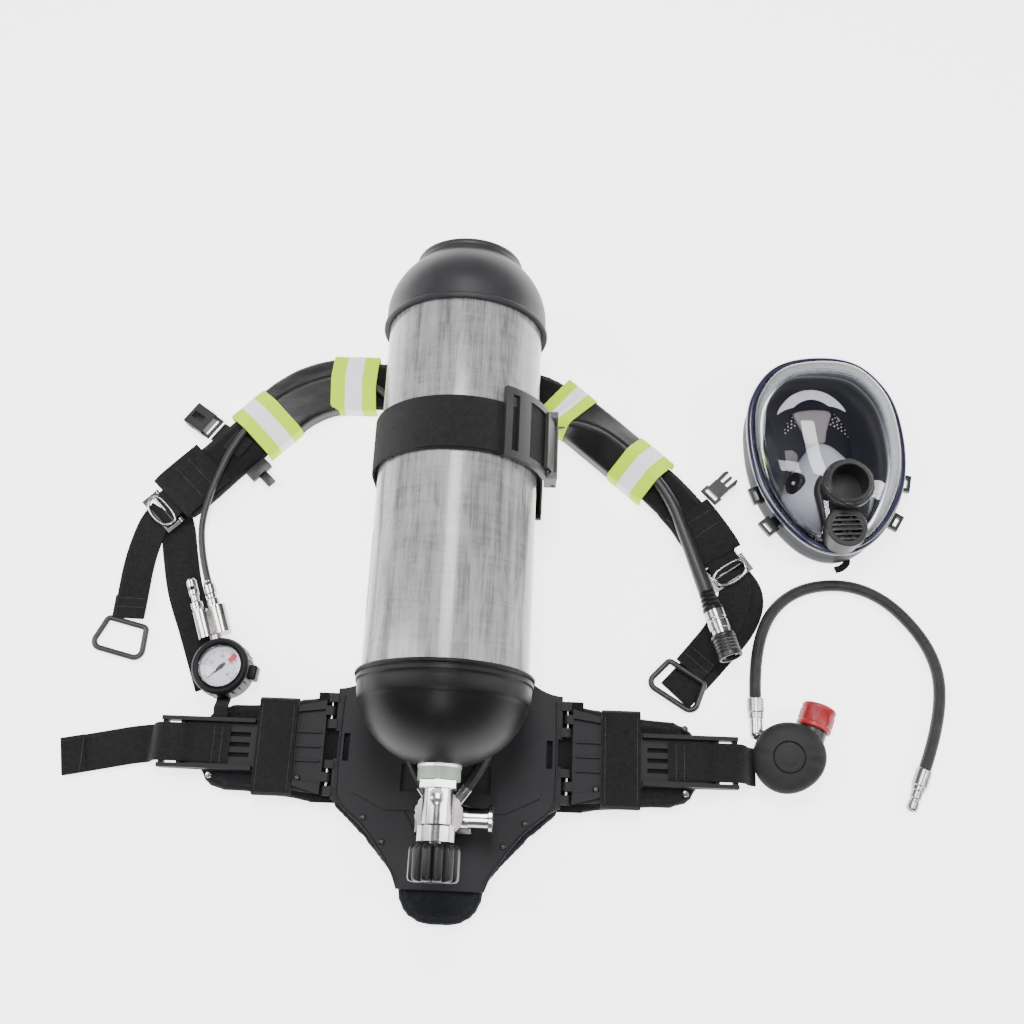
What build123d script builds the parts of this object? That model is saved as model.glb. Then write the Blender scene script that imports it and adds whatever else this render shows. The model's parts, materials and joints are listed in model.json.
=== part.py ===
from build123d import *
import math
import os

# Self-contained breathing apparatus laid out on a flat surface, in millimetres.
# +Z is up, +Y runs along the cylinder from its valve to its far end, +X is to the right.
# The origin is on the resting surface, under the cylinder's axis and level with the waist hinges.

# ---- Driving sizes -------------------------------------------------------------------------
CYL_R = 78.0                  # outside radius of a 6.8 litre composite cylinder
CYL_Z = 112.0                 # height of the cylinder's axis
CYL_Y = (38.0, 420.0)         # where the straight wall of the pressure vessel starts and ends
DOMES = (60.0, 54.0)          # depth of the domed end at the valve and at the far end
PLATE_Z = (18.0, 24.0)        # underside and top of the backplate
PAD_TOP = 18.0                # top of the waist padding, against the plate
HINGE_X = 117.0               # distance of each waist hinge from the middle
HINGE_Z = 22.0                # height of the hinge axis
STRAP_Z = (0.0, 18.0)         # shoulder padding
WEB = 38.0                    # width of the harness webbing
FIT = 0.3                     # gap between curved faces that lie against each other
MASK_AT = (384.0, 324.0)      # middle of the face mask
VALVE_Y = -66.0               # distance of the valve's outlet axis from the waist hinges


# ---- Helpers -------------------------------------------------------------------------------
def block(x, y, z):
    """A box between a low and a high value on each axis."""
    middle = [(pair[0] + pair[1]) / 2 for pair in (x, y, z)]
    return Pos(*middle) * Box(*[pair[1] - pair[0] for pair in (x, y, z)])


def turned(outline, at, along):
    """The solid that closed (radius, height) points sweep about an axis that leaves at along."""
    face = make_face(Plane.XZ * Polyline(*outline, close=True))
    return Plane(origin=at, z_dir=along) * revolve(face, Axis.Z)


def rod(start, end, radius, bore=0.0):
    """A round bar between two points, with a bore if one is given."""
    along = Vector(end) - Vector(start)
    inner = max(bore, 0.0)
    outline = [(inner, 0), (radius, 0), (radius, along.length), (inner, along.length)]
    return turned(outline, start, along)


def slab(points, z):
    """A flat plate with straight sides, between two heights."""
    return Pos(0, 0, z[0]) * extrude(make_face(Polyline(*points, close=True)), amount=z[1] - z[0])


def strip(points, width, z, corner=40.0):
    """A flat strap that follows a line on the ground, with rounded bends, between two heights."""
    line = Line(*points) if len(points) == 2 else FilletPolyline(*points, radius=corner)
    return Pos(0, 0, z[0]) * extrude(trace(line, width), amount=z[1] - z[0])


def cord_path(points):
    """Straight runs joined by the largest tangent arcs that they leave room for."""
    radii = []
    for a, b, c in zip(points, points[1:], points[2:]):
        run_in, run_out = Vector(b) - Vector(a), Vector(c) - Vector(b)
        half_turn = math.radians(run_in.get_angle(run_out)) / 2
        radii.append(0.45 * min(run_in.length, run_out.length) / math.tan(half_turn))
    return FilletPolyline(*points, radius=radii), radii


def cord(name, points, radius):
    """A hose along its route. Prints the length, the bend radii and how true the volume is."""
    path, radii = cord_path(points)
    tube = sweep(Plane(origin=path @ 0, z_dir=path % 0) * Circle(radius), path=path)
    true = tube.volume / (math.pi * radius**2 * path.length)
    print(f"{name}: length {path.length:.0f}, bends {[round(r) for r in radii]}, volume ratio {true:.3f}")
    return tube


def mirrored(shape):
    """The same solids on the other side of the middle plane."""
    return Compound(children=[mirror(solid, about=Plane.YZ) for solid in shape.solids()])


def heading(a, b):
    """The unit vector from one point to another."""
    return (Vector(*b) - Vector(*a)).normalized()


def ahead(at, direction, distance):
    """The point at a distance from another along a unit vector."""
    return tuple(Vector(*at) + direction * distance)


# ---- Cylinder ------------------------------------------------------------------------------
LAMINATE = 5.0                # thickness of the composite wrap
LINER = 3.0                   # thickness of the metal liner
NECK_R = 20.0                 # outside radius of the liner's neck
NECK_BORE = 12.5              # radius of the neck's thread
NECK_END = -28.0              # where the neck's face is
BOSS_R = 8.0                  # radius of the liner's blind boss at the far end
BOOT_RIM, BOOT_STEP, BOOT_R = 55.0, 46.0, 83.5
BOOT_DOME = (81.0, 72.0)      # half axes of the boot's rounded end
CAP_RIM, CAP_END, CAP_R = 410.0, 496.0, 84.0
CAP_DOME = (82.0, 76.0)
CAP_SPRING = 427.0            # where the straight part of the cap ends
CAP_TOP_R = 55.0


def dome_arc(half_axes, station, radius, far):
    """The edge of a domed end, from where it has the given radius to its full width."""
    angle = math.degrees(math.acos(radius / half_axes[0]))
    start = 0 if far else 360 - angle
    return EllipticalCenterArc((0, station), *half_axes, start_angle=start, arc_size=angle)


def wall_edges(inset, hole):
    """The vessel's wall, smaller by inset, from a hole at the valve end to the boss at the far end."""
    axes = [(CYL_R - inset, depth - inset) for depth in DOMES]
    return [
        dome_arc(axes[0], CYL_Y[0], hole, False),
        Line((axes[0][0], CYL_Y[0]), (axes[0][0], CYL_Y[1])),
        dome_arc(axes[1], CYL_Y[1], BOSS_R, True),
    ]


def turned_edges(edges):
    """A turned piece on the cylinder's axis, from edges in (radius, distance along +Y)."""
    body = revolve(make_face([Plane.XZ * edge for edge in edges]), Axis.Z)
    return Plane(origin=(0, 0, CYL_Z), z_dir=(0, 1, 0)) * body


def on_axis(outline):
    """A turned piece on the cylinder's axis, from (radius, distance along +Y) points."""
    return turned(outline, (0, 0, CYL_Z), (0, 1, 0))


def cylinder_space():
    """The room that the straight part of the cylinder takes up."""
    return rod((0, CYL_Y[0], CYL_Z), (0, CYL_Y[1], CYL_Z), CYL_R + FIT)


def cylinder():
    outside = wall_edges(0, NECK_R)
    middle = wall_edges(LAMINATE, NECK_R)
    inside = wall_edges(LAMINATE + LINER, NECK_BORE)
    wrap = turned_edges(outside + middle + [
        Line(outside[0] @ 0, middle[0] @ 0), Line(outside[2] @ 1, middle[2] @ 1),
    ])
    boss_top, boss_floor = (outside[2] @ 1).Y, (inside[2] @ 1).Y
    liner = turned_edges(middle + inside + [
        Line(middle[0] @ 0, (NECK_R, NECK_END)), Line((NECK_R, NECK_END), (NECK_BORE, NECK_END)),
        Line((NECK_BORE, NECK_END), inside[0] @ 0),
        *Polyline(middle[2] @ 1, (BOSS_R, boss_top), (0, boss_top), (0, boss_floor), inside[2] @ 1).edges(),
    ])

    skin = wall_edges(-FIT, NECK_R + 2)
    outer = dome_arc(BOOT_DOME, BOOT_STEP - 2, NECK_R + 2, False)
    boot = turned_edges([
        skin[0], Line(skin[0] @ 1, (CYL_R + FIT, BOOT_RIM)), outer, Line(skin[0] @ 0, outer @ 0),
        *Polyline(outer @ 1, (81, BOOT_STEP), (82.2, BOOT_STEP + 1), (82.2, BOOT_RIM - 4),
                   (BOOT_R, BOOT_RIM - 3),
                  (BOOT_R, BOOT_RIM), (CYL_R + FIT, BOOT_RIM)).edges(),
    ])
    shoulder = dome_arc(CAP_DOME, CAP_SPRING, CAP_TOP_R + 1, True)
    cap = turned_edges([
        skin[2], Line(skin[2] @ 0, (CYL_R + FIT, CAP_RIM)), shoulder,
        *Polyline((CYL_R + FIT, CAP_RIM), (CAP_R, CAP_RIM), (CAP_R, CAP_RIM + 4),
                   (CAP_DOME[0], CAP_RIM + 5),
                  (CAP_DOME[0], CAP_SPRING)).edges(),
        *Polyline(shoulder @ 1, (CAP_TOP_R, CAP_END - 12), (CAP_TOP_R, CAP_END - 4),
                   (CAP_TOP_R - 4, CAP_END),
                  (0, CAP_END), (0, (skin[2] @ 1).Y), skin[2] @ 1).edges(),
    ])
    return {
        "cylinder_shell": wrap,
        "cylinder_liner": liner,
        "cylinder_boot": boot,
        "cylinder_cap": cap,
    }


# ---- Cylinder valve ------------------------------------------------------------------------
HEX_R = 18.5                  # corner radius of the valve's hexagon
BODY_R = 13.5
COLLAR_R = 17.0
WHEEL_R = 23.0
WHEEL_Y = (-126.0, -94.0)
SPINDLE_R = 5.0
RUN_FIT = 0.05                # radial clearance of a turning shaft


def valve():
    ring = on_axis([(15.2, -39), (19.5, -39), (19.5, NECK_END), (15.2, NECK_END)])
    hexagon = Plane(origin=(0, -39, CYL_Z), z_dir=(0, -1, 0)) * extrude(RegularPolygon(HEX_R, 6), amount=7)
    thread = rod((0, -39, CYL_Z), (0, -10, CYL_Z), NECK_BORE)
    barrel = on_axis([(0, -92), (COLLAR_R, -92), (COLLAR_R, -79), (BODY_R, -77), (BODY_R, -46), (0, -46)])
    outlet = rod((0, VALVE_Y, CYL_Z), (0, VALVE_Y, 93), 11)
    disc_plug = rod((0, -53, CYL_Z + 10), (0, -53, CYL_Z + 16), 6)
    passage = rod((0, -40, CYL_Z), (0, -5, CYL_Z), 3)
    stem_bore = rod((0, -93, CYL_Z), (0, -60, CYL_Z), SPINDLE_R + RUN_FIT)
    body = hexagon + thread + barrel + outlet + disc_plug - passage - stem_bore

    spindle = rod((0, WHEEL_Y[0] + 8, CYL_Z), (0, -62, CYL_Z), SPINDLE_R)
    wheel = on_axis([
        (0, WHEEL_Y[0]), (WHEEL_R - 3, WHEEL_Y[0]), (WHEEL_R, WHEEL_Y[0] + 3), (WHEEL_R, WHEEL_Y[1] - 2),
        (WHEEL_R - 2, WHEEL_Y[1]), (0, WHEEL_Y[1]),
    ])
    flute = rod((0, WHEEL_Y[0] - 1, CYL_Z + WHEEL_R + 1), (0, WHEEL_Y[1] + 1, CYL_Z + WHEEL_R + 1), 2.6)
    for k in range(12):
        wheel -= flute.rotate(Axis((0, 0, CYL_Z), (0, 1, 0)), 30 * k)
    wheel -= rod((0, WHEEL_Y[0] + 8, CYL_Z), (0, WHEEL_Y[1] + 1, CYL_Z), SPINDLE_R)
    return {
        "neck_ring": ring,
        "valve_body": body,
        "valve_spindle": spindle,
        "valve_handwheel": wheel,
    }


# ---- Pressure reducer ----------------------------------------------------------------------
REDUCER_R = 19.0
REDUCER_Z = (26.0, 77.0)
CHAMBER_R = 12.0
COUPLING_R = 22.0
COUPLING_Z = (78.0, 92.0)
PORT_Z = 36.0


def reducer():
    at = (0, VALVE_Y)
    body = rod((*at, REDUCER_Z[0]), (*at, REDUCER_Z[1]), REDUCER_R)
    spigot = rod((*at, REDUCER_Z[1]), (*at, 92.6), 8)
    foot = block((-27, 27), (VALVE_Y - 12, VALVE_Y + 12), (PLATE_Z[1] + 2, PLATE_Z[1] + 6))
    side = rod((10, VALVE_Y, 66), (26, VALVE_Y, 66), 10.5)
    chamber = rod((*at, 34), (*at, 70), CHAMBER_R)
    ports = [rod((s * 9, VALVE_Y + 12, PORT_Z), (s * 22, VALVE_Y + 30, PORT_Z), 6.5) for s in (-1, 1)]
    relief = turned([
        (0, 0), (9.5, 0), (9.5, 18), (12.5, 19), (12.5, 22), (9, 23), (0, 23),
    ], (26, VALVE_Y, 66), (1, 0, 0))
    body = body + spigot + foot + side + relief + ports[0] + ports[1]
    body -= chamber + rod((*at, 60), (*at, 93), 2)
    for s in (-1, 1):
        body -= rod((s * 23, VALVE_Y, 20), (s * 23, VALVE_Y, 40), 2.2)

    piston = rod((*at, 34.5), (*at, 39.5), CHAMBER_R - 0.1) + rod((*at, 39), (*at, 56), 3.5)
    coil_line = Helix(pitch=6, height=24, radius=8, center=(*at, 42.5))
    coil = sweep(Plane(origin=coil_line @ 0, z_dir=coil_line % 0) * Circle(1.3), path=coil_line)

    teeth = rod((*at, COUPLING_Z[0]), (*at, COUPLING_Z[1]), COUPLING_R, 11.4)
    notch_x = COUPLING_R + 1.2
    notch = rod((notch_x, VALVE_Y, COUPLING_Z[0] - 1), (notch_x, VALVE_Y, COUPLING_Z[1] + 1), 2.2)
    for k in range(16):
        teeth -= notch.rotate(Axis((*at, 0), (0, 0, 1)), 22.5 * k)
    return {
        "reducer_body": body,
        "reducer_piston": Compound(children=[piston, coil]),
        "reducer_coupling": teeth,
    }


# ---- Backplate, padding and waist hinges ---------------------------------------------------
EDGE_X = 112.0                # side edge of the plate
EDGE_Y = (-50.0, 58.0)        # lower and upper end of that edge
SPINE_X, SPINE_TOP = 60.0, 414.0
PLATE_END = -130.0            # lower edge of the plate
KNUCKLE_R = 4.0
PIN_R = 1.5
LUGS = ((44, 52), (18, 27), (-21, -13), (-47, -38))        # plate knuckles along Y
WING_LUGS = ((31, 40), (-34, -25))                         # wing knuckles along Y
PINS = ((18, 52), (-47, -13))
SLOT = ((97, 103), (-13, 14))                              # strap slot near each edge
CRADLES = ((90, 112), (330, 352))                          # where the cylinder rests
BAND_Y = (251.0, 306.0)                                    # cylinder band
BAND_R = 82.0                                              # inside radius of the band
BAND_Z = 109.0                                             # centre of the band's arc
BOLTS = ((-44, 404), (-34, 386), (44, 404), (34, 386))     # shoulder strap fixings


def half_outline(edges):
    """A face from the edges of its right half and their mirror images."""
    return make_face(edges + [mirror(edge, about=Plane.YZ) for edge in edges])


def backplate():
    outline = half_outline([
        Line((0, SPINE_TOP), (46, SPINE_TOP)),
        Line((46, SPINE_TOP), (SPINE_X, SPINE_TOP - 14)),
        Line((SPINE_X, SPINE_TOP - 14), (SPINE_X, 112)),
        ThreePointArc((SPINE_X, 112), (75, 76), (EDGE_X, EDGE_Y[1])),
        Line((EDGE_X, EDGE_Y[1]), (EDGE_X, EDGE_Y[0])),
        ThreePointArc((EDGE_X, EDGE_Y[0]), (68, -84), (42, PLATE_END)),
        Line((42, PLATE_END), (0, PLATE_END)),
    ])
    plate = Pos(0, 0, PLATE_Z[0]) * extrude(outline, amount=PLATE_Z[1] - PLATE_Z[0])
    plate += slab([(-92, 40), (92, 40), (92, -42), (58, -58), (-58, -58), (-92, -42)],
                  (PLATE_Z[1] - 1, PLATE_Z[1] + 2))
    plate += block((-84, 84), (BAND_Y[0] - 5, BAND_Y[1] + 5), PLATE_Z)
    for y in CRADLES:
        plate += block((-40, 40), y, (PLATE_Z[1] - 1, 50))
    plate -= cylinder_space()

    for s in (-1, 1):
        for y in LUGS:
            plate += block(sorted((s * (EDGE_X - 1), s * HINGE_X)), y, (HINGE_Z - KNUCKLE_R, HINGE_Z + KNUCKLE_R))
            plate += rod((s * HINGE_X, y[0], HINGE_Z), (s * HINGE_X, y[1], HINGE_Z), KNUCKLE_R)
        plate -= block(sorted((s * (EDGE_X - 5), s * (EDGE_X + 1))), (-11, 16), (0, 40))
        plate -= block(sorted((s * SLOT[0][0], s * SLOT[0][1])), SLOT[1], (0, 40))
        plate -= block(sorted((s * 26, s * 44)), (-40, -14), (PLATE_Z[1] - 2, 40))
        plate -= block(sorted((s * BAND_R, s * (BAND_R + 3))), BAND_Y, (PLATE_Z[1] - 2, 40))
        plate -= rod((s * HINGE_X, -60, HINGE_Z), (s * HINGE_X, 60, HINGE_Z), PIN_R + 0.02)
        plate -= rod((s * 23, VALVE_Y, 10), (s * 23, VALVE_Y, 40), 2.2)
    for x, y in BOLTS:
        plate -= rod((x, y, 0), (x, y, 40), 3)

    middle = half_outline([
        Line((0, 66), (HINGE_X - 3, 62)),
        Line((HINGE_X - 3, 62), (HINGE_X - 3, -56)),
        ThreePointArc((HINGE_X - 3, -56), (76, -90), (44, -128)),
        ThreePointArc((44, -128), (36, -151.5), (0, -164)),
    ])
    pad = extrude(middle, amount=PAD_TOP)
    for s in (-1, 1):
        pad -= wedge(s)

    pins = [
        rod((s * HINGE_X, y[0], HINGE_Z), (s * HINGE_X, y[1], HINGE_Z), PIN_R)
        for s in (-1, 1)
        for y in PINS
    ]
    bolts = [
        turned(
            [(0, 3), (3, 3), (3, PLATE_Z[1]), (6, PLATE_Z[1]), (6, 26), (4.5, 27.5), (0, 27.5)],
            (x, y, 0), (0, 0, 1),
        )
        for x, y in BOLTS
    ]
    screws = [
        turned([(0, 19), (2.2, 19), (2.2, 30), (4, 30), (4, 33), (0, 33)], (s * 23, VALVE_Y, 0), (0, 0, 1))
        for s in (-1, 1)
    ]
    return {"backplate": plate, "lumbar_pad": pad, "pins_and_bolts": Compound(children=pins + bolts + screws)}


def wedge(side):
    """The V of free space under a waist hinge, into which the padding folds."""
    foot = 19.0
    outline = [(HINGE_X - 3, 20), (HINGE_X + 3, 20), (HINGE_X + foot, -1), (HINGE_X - foot, -1)]
    face = make_face(Plane.XZ * Polyline(*[(side * x, z) for x, z in outline], close=True))
    return Pos(0, -200, 0) * extrude(face, amount=400, dir=(0, 1, 0))


# ---- Waist wings ---------------------------------------------------------------------------
WING_END = 284.0
RAIL_Z = 30.0
COVER_X = (151.0, 189.0)      # fabric cover sewn round each wing


def wing(side):
    """One waist wing: its moulded plate, its padding and its belt."""
    plate = slab([
        (122.5, 46), (150, 41), (192, 25), (WING_END, 24),
        (WING_END, -26), (192, -27), (150, -43), (122.5, -46),
    ], (PLATE_Z[0], PLATE_Z[0] + 4))
    for y in (46, -46):
        plate += slab([(122.5, y), (122.5, y * 0.8), (150, y * 0.72), (150, y * 0.84)], (21, 26))
    for y in (-14, 0, 14):
        plate += block((126, 150), (y - 1, y + 1), (21, 24.5))
    for y in ((20, 24), (-26, -22)):
        plate += block((191, WING_END), y, (21, RAIL_Z))
    for x in ((WING_END - 5, WING_END), (WING_END - 22, WING_END - 18)):
        plate += block(x, (-24, 22), (21, 25))
    plate -= block((WING_END - 18, WING_END - 5), (-22, 20), (10, 40))
    for y in (9, -1, -11):
        plate -= block((196, 216), (y - 2.2, y + 2.2), (10, 40))
    for y in WING_LUGS:
        plate += block((HINGE_X, 123), y, (HINGE_Z - KNUCKLE_R, HINGE_Z + KNUCKLE_R))
        plate += rod((HINGE_X, y[0], HINGE_Z), (HINGE_X, y[1], HINGE_Z), KNUCKLE_R)
    plate -= rod((HINGE_X, -60, HINGE_Z), (HINGE_X, 60, HINGE_Z), PIN_R + RUN_FIT)

    outline = make_face([
        Line((HINGE_X + 3, 56), (165, 49)),
        Line((165, 49), (222, 43)),
        ThreePointArc((222, 43), (244, 34), (252, 14)),
        Line((252, 14), (250, -24)),
        ThreePointArc((250, -24), (240, -41), (222, -47)),
        Line((222, -47), (160, -52)),
        Line((160, -52), (HINGE_X + 3, -57)),
        Line((HINGE_X + 3, -57), (HINGE_X + 3, 56)),
    ])
    pad = extrude(outline, amount=PAD_TOP) - wedge(1)
    pad += block(COVER_X, (-49, 47), (PAD_TOP - 1, 28)) - block(COVER_X, (-46.5, 44.5), (PAD_TOP, 26.3))

    over = [
        (216, 22.2), (254, 22.2), (261, 25.6), (287, 25.6),
        (299, 3.5), (304, 3.5), (304, 5.8), (300.4, 5.8),
        (288.5, 27.9), (260, 27.9), (253, 24.5), (216, 24.5),
    ]
    face = make_face(Plane.XZ * Polyline(*over, close=True))
    belt = Pos(0, -WEB / 2 - 1, 0) * extrude(face, amount=WEB, dir=(0, 1, 0))
    tail_end = 388.0 if side < 0 else 304.0
    drift = (tail_end - 300) * 0.2
    belt += slab([
        (300, WEB / 2 - 1), (tail_end, WEB / 2 - 1 - drift),
        (tail_end, -WEB / 2 - 1 - drift), (300, -WEB / 2 - 1),
    ], (3.5, 5.8))
    pieces = {
        "waist_wing": plate,
        "hip_pad": pad,
        "waist_belt": belt,
    }
    names = {-1: "left", 1: "right"}
    return {
        f"{name}_{names[side]}": mirrored(shape) if side < 0 else shape for name, shape in pieces.items()
    }


# ---- Cylinder band and its buckle ----------------------------------------------------------
BUCKLE_Y = (250.0, 321.0)
LEVER_PIVOT = (94.0, BAND_Z)  # X and Z of the lever's pin
LEVER_Y = (257.0, 314.0)


def sector(radii, angles, y):
    """A piece of a ring about the band's centre, between two radii, two angles and two stations."""
    arcs = []
    for radius in radii:
        arcs.append(CenterArc((0, BAND_Z), radius, angles[0], angles[1] - angles[0]))
    sides = [Line(arcs[0] @ t, arcs[1] @ t) for t in (0, 1)]
    face = make_face([Plane.XZ * edge for edge in arcs + sides])
    return Pos(0, y[0], 0) * extrude(face, amount=y[1] - y[0], dir=(0, 1, 0))


def band():
    strap = sector((BAND_R, BAND_R + 2.4), (0, 180), BAND_Y)
    for s in (-1, 1):
        strap += block(sorted((s * BAND_R, s * (BAND_R + 2.4))), BAND_Y, (PLATE_Z[1] - 2, BAND_Z))
    frame = sector((BAND_R + 2.8, BAND_R + 8), (10, 58), BUCKLE_Y)
    frame -= sector((BAND_R, BAND_R + 12), (48, 53), (BUCKLE_Y[0] + 7, BUCKLE_Y[1] - 7))
    frame -= sector((BAND_R, BAND_R + 12), (14, 38), (BUCKLE_Y[0] + 7, BUCKLE_Y[1] - 7))
    x, z = LEVER_PIVOT
    ears = [block((85, 97.5), y, (BAND_Z - 5, BAND_Z + 20)) for y in ((250, 256.5), (314.5, 321))]
    frame += ears[0] + ears[1]
    frame -= cylinder_space()
    pin = rod((x, BUCKLE_Y[0] + 1, z), (x, BUCKLE_Y[1] - 1, z), 2)
    frame -= rod((x, BUCKLE_Y[0], z), (x, BUCKLE_Y[1], z), 2.02)

    lever = sector((BAND_R + 9, BAND_R + 12.5), (5, 21), LEVER_Y)
    lever += rod((x, LEVER_Y[0], z), (x, LEVER_Y[1], z), 4.4)
    lever += block((x - 3, x + 0.5), LEVER_Y, (z, z + 10))
    lever -= rod((x, LEVER_Y[0] - 1, z), (x, LEVER_Y[1] + 1, z), 2 + RUN_FIT)
    return {
        "cylinder_band": strap,
        "band_buckle": Compound(children=[frame, pin]),
        "band_lever": lever,
    }


# ---- Shoulder straps -----------------------------------------------------------------------
LEFT_PAD = ((-4, 402), (-172, 401), (-312, 255))
RIGHT_PAD = ((4, 406), (78, 405), (226, 279), (275, 210))
LEFT_WIDE, RIGHT_WIDE = 62.0, 54.0
BANDS = (                     # middle, point along the strap, length and strap width of each wrap
    ((-127, 401.3), (-200, 400.9), 50, LEFT_WIDE),
    ((-221, 349.9), (-312, 255), 46, LEFT_WIDE),
    ((108, 379.5), (226, 279), 40, RIGHT_WIDE),
    ((190, 309.7), (226, 279), 46, RIGHT_WIDE),
)
LOOPS = (                     # end of a sewn loop, point it heads for, its width and a point it is sewn to
    ((-279, 343), (-304, 360), 14, (-250, 323)),
    ((263.5, 282.5), (293.5, 311.5), 14, (234, 254)),
    ((-316, 251), (-326, 241), 36, (-302, 265)),
    ((278, 205.5), (284, 197), 36, (266, 222.5)),
)
LOOP_Z = 9.0
LOOP_OUT, LOOP_IN = 3.6, 2.06
BAR_R = 2.0


def frame_at(at, toward, z):
    """A work plane at a point: local X runs toward another point and local Z is up."""
    direction = heading((*at, 0), (*toward, 0))
    return Plane(origin=(*at, z), x_dir=direction, z_dir=(0, 0, 1))


def sewn_loop(at, toward, width, root):
    """A short tape from inside the padding, ending in a round loop for a buckle's bar."""
    plane = frame_at(at, toward, LOOP_Z)
    reach = math.dist(at, root)
    tape = Pos(-reach / 2, 0, 0) * Box(reach, width, 2.4)
    ring = Cylinder(LOOP_OUT, width, rotation=(90, 0, 0))
    hole = Cylinder(LOOP_IN, width + 4, rotation=(90, 0, 0))
    return plane * (tape + ring - hole)


def shoulder_pads():
    left = strip(LEFT_PAD, LEFT_WIDE, STRAP_Z, 45)
    right = strip(RIGHT_PAD, RIGHT_WIDE, STRAP_Z, 40)
    for x, y in BOLTS:
        hole = rod((x, y, -1), (x, y, 40), 3.3)
        left -= hole
        right -= hole
    for at, toward, width, root in LOOPS:
        loop = sewn_loop(at, toward, width, root)
        if at[0] < 0:
            left += loop
        else:
            right += loop
    wraps = []
    for at, toward, length, width in BANDS:
        outer = Pos(0, 0, 10.2) * Box(length, width + 3, 19.2)
        inner = Pos(0, 0, 8.2) * Box(length + 2, width + 0.6, 20.2)
        wraps.append(frame_at(at, toward, 0) * (outer - inner))
    return {
        "shoulder_pad_left": left,
        "shoulder_pad_right": right,
        "reflective_wraps": Compound(children=wraps),
    }


# ---- Adjusting webbing, adjusters and pull handles -----------------------------------------
HANDLE_Z = 6.0
HANDLES = (                   # hinge of each pull handle and the point it lies toward
    ((-342, 122), (-350, 89)),
    ((238, 92), (220.5, 64)),
)
WEB_LINES = (
    ((-336, 221), (-340, 180), (-342, 122)),
    ((-301, 219), (-286, 160), (-246, 60)),
    ((288, 169), (270, 132), (238, 92)),
    ((290, 181), (268, 130), (218, 63)),
)


def webbing():
    pieces = [
        strip(WEB_LINES[0], 34, (HANDLE_Z - 1, HANDLE_Z + 1), 60),
        strip(WEB_LINES[1], WEB, (0.3, 2.3), 60),
        strip(WEB_LINES[2], 34, (HANDLE_Z - 1, HANDLE_Z + 1), 60),
        strip(WEB_LINES[3], WEB, (0.3, 2.3), 60),
    ]
    for (at, toward), k in zip(HANDLES, (0, 2)):
        plane = frame_at(at, toward, HANDLE_Z)
        pieces[k] -= plane * Box(16, 60, 12)
        tape = plane * (Pos(-8, 0, 0) * Box(10, 30, 2))
        ring = plane * (Cylinder(5, 30, rotation=(90, 0, 0)) - Cylinder(3.05, 40, rotation=(90, 0, 0)))
        pieces[k] += tape
        pieces[k] += ring
    return Compound(children=pieces)


def adjuster(loop):
    """A ladder-lock frame whose top bar turns in the sewn loop."""
    at, toward, width, _ = loop
    body = Pos(8.5, 0, -1) * Box(21, 48, 3)
    for x in (1.5, 12.0):
        body -= Pos(x, 0, 0) * Box(9 if x > 2 else 10, 38.6, 8)
    body += Cylinder(BAR_R, 48, rotation=(90, 0, 0))
    for s in (-1, 1):
        body += Pos(0, s * 21.6, -0.5) * Box(4, 4.4, 4)
    return frame_at(at, toward, LOOP_Z) * body


def pull_handle(at, toward):
    """A rounded wire frame hung on the strap's end."""
    line = FilletPolyline((0, -21), (0, 21), (33, 28), (33, -28), radius=[4, 4, 8, 8], close=True)
    ring = sweep(Plane(origin=line @ 0, z_dir=line % 0) * Circle(3.0), path=line)
    return frame_at(at, toward, HANDLE_Z) * ring


def chest_buckle():
    """The two halves of the chest buckle, each on the bar of its sewn loop."""
    socket = Pos(20, 0, 0) * Box(26, 26, 11) - Pos(23, 0, 0) * Box(22, 20, 6)
    socket -= Pos(23, 0, 0) * Box(9, 30, 6)
    socket -= Pos(22, 0, 4) * Box(14, 8, 6)
    plug = slab([
        (6, -9), (20, -9), (20, -8.5), (32, -9.5), (36, -7.5), (36, -5.5), (22, -5), (22, -1.6), (34, -1.6),
        (34, 1.6), (22, 1.6), (22, 5), (36, 5.5), (36, 7.5), (32, 9.5), (20, 8.5), (20, 9), (6, 9),
    ], (-2.2, 2.2))
    halves = []
    for shape, loop, wide in ((socket, LOOPS[0], 26), (plug, LOOPS[1], 22)):
        bar = Cylinder(BAR_R, wide, rotation=(90, 0, 0))
        for s in (-1, 1):
            bar += Pos(3.5, s * (wide / 2 - 1.7), 0) * Box(9, 3.4, 4)
        halves.append(frame_at(loop[0], loop[1], LOOP_Z) * (shape + bar))
    return halves


def harness():
    pieces = shoulder_pads()
    socket, plug = chest_buckle()
    return pieces | {
        "adjusting_webbing": webbing(),
        "strap_adjuster_left": adjuster(LOOPS[2]),
        "strap_adjuster_right": adjuster(LOOPS[3]),
        "pull_handle_left": pull_handle(*HANDLES[0]),
        "pull_handle_right": pull_handle(*HANDLES[1]),
        "chest_buckle_socket": socket,
        "chest_buckle_plug": plug,
    }


# ---- Hoses, coupler and pressure gauge -----------------------------------------------------
GAUGE_AT = (-232, 74)
GAUGE_Z = 2.8
GAUGE_R = 28.5
STEM_Z = 20.0
COUPLER_AT = (256, 170, 29)
COUPLER_DIR = Vector(0.3, -0.954, 0.12).normalized()
GAUGE_DIR = Vector(-0.35, 0.937, 0).normalized()
GAUGE_SIDE = Vector(-0.937, -0.35, 0).normalized()
SUPPLY_R, GAUGE_HOSE_R = 5.5, 3.5
SUPPLY_LINE = (
    (22, -36, 36), (45.5, -3.5, 36), (51, 70, 32), (47, 166, 32), (51, 250, 32), (53, 334, 32),
    (127, 366, 27), (214, 293, 26), (243.4, 210, 24), (256, 170, 29),
)
GAUGE_LINE = (
    (-22, -36, 36), (-45.5, -3.5, 36), (-51, 66, 30), (-47, 165, 30), (-51, 262, 30), (-53, 346, 30),
    (-118, 410, 25), (-190, 392, 24.2), (-246, 336, 24), (-272, 262, 22), (-276, 208, 20),
    (-259.7, 165.1, 20),
)


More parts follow.
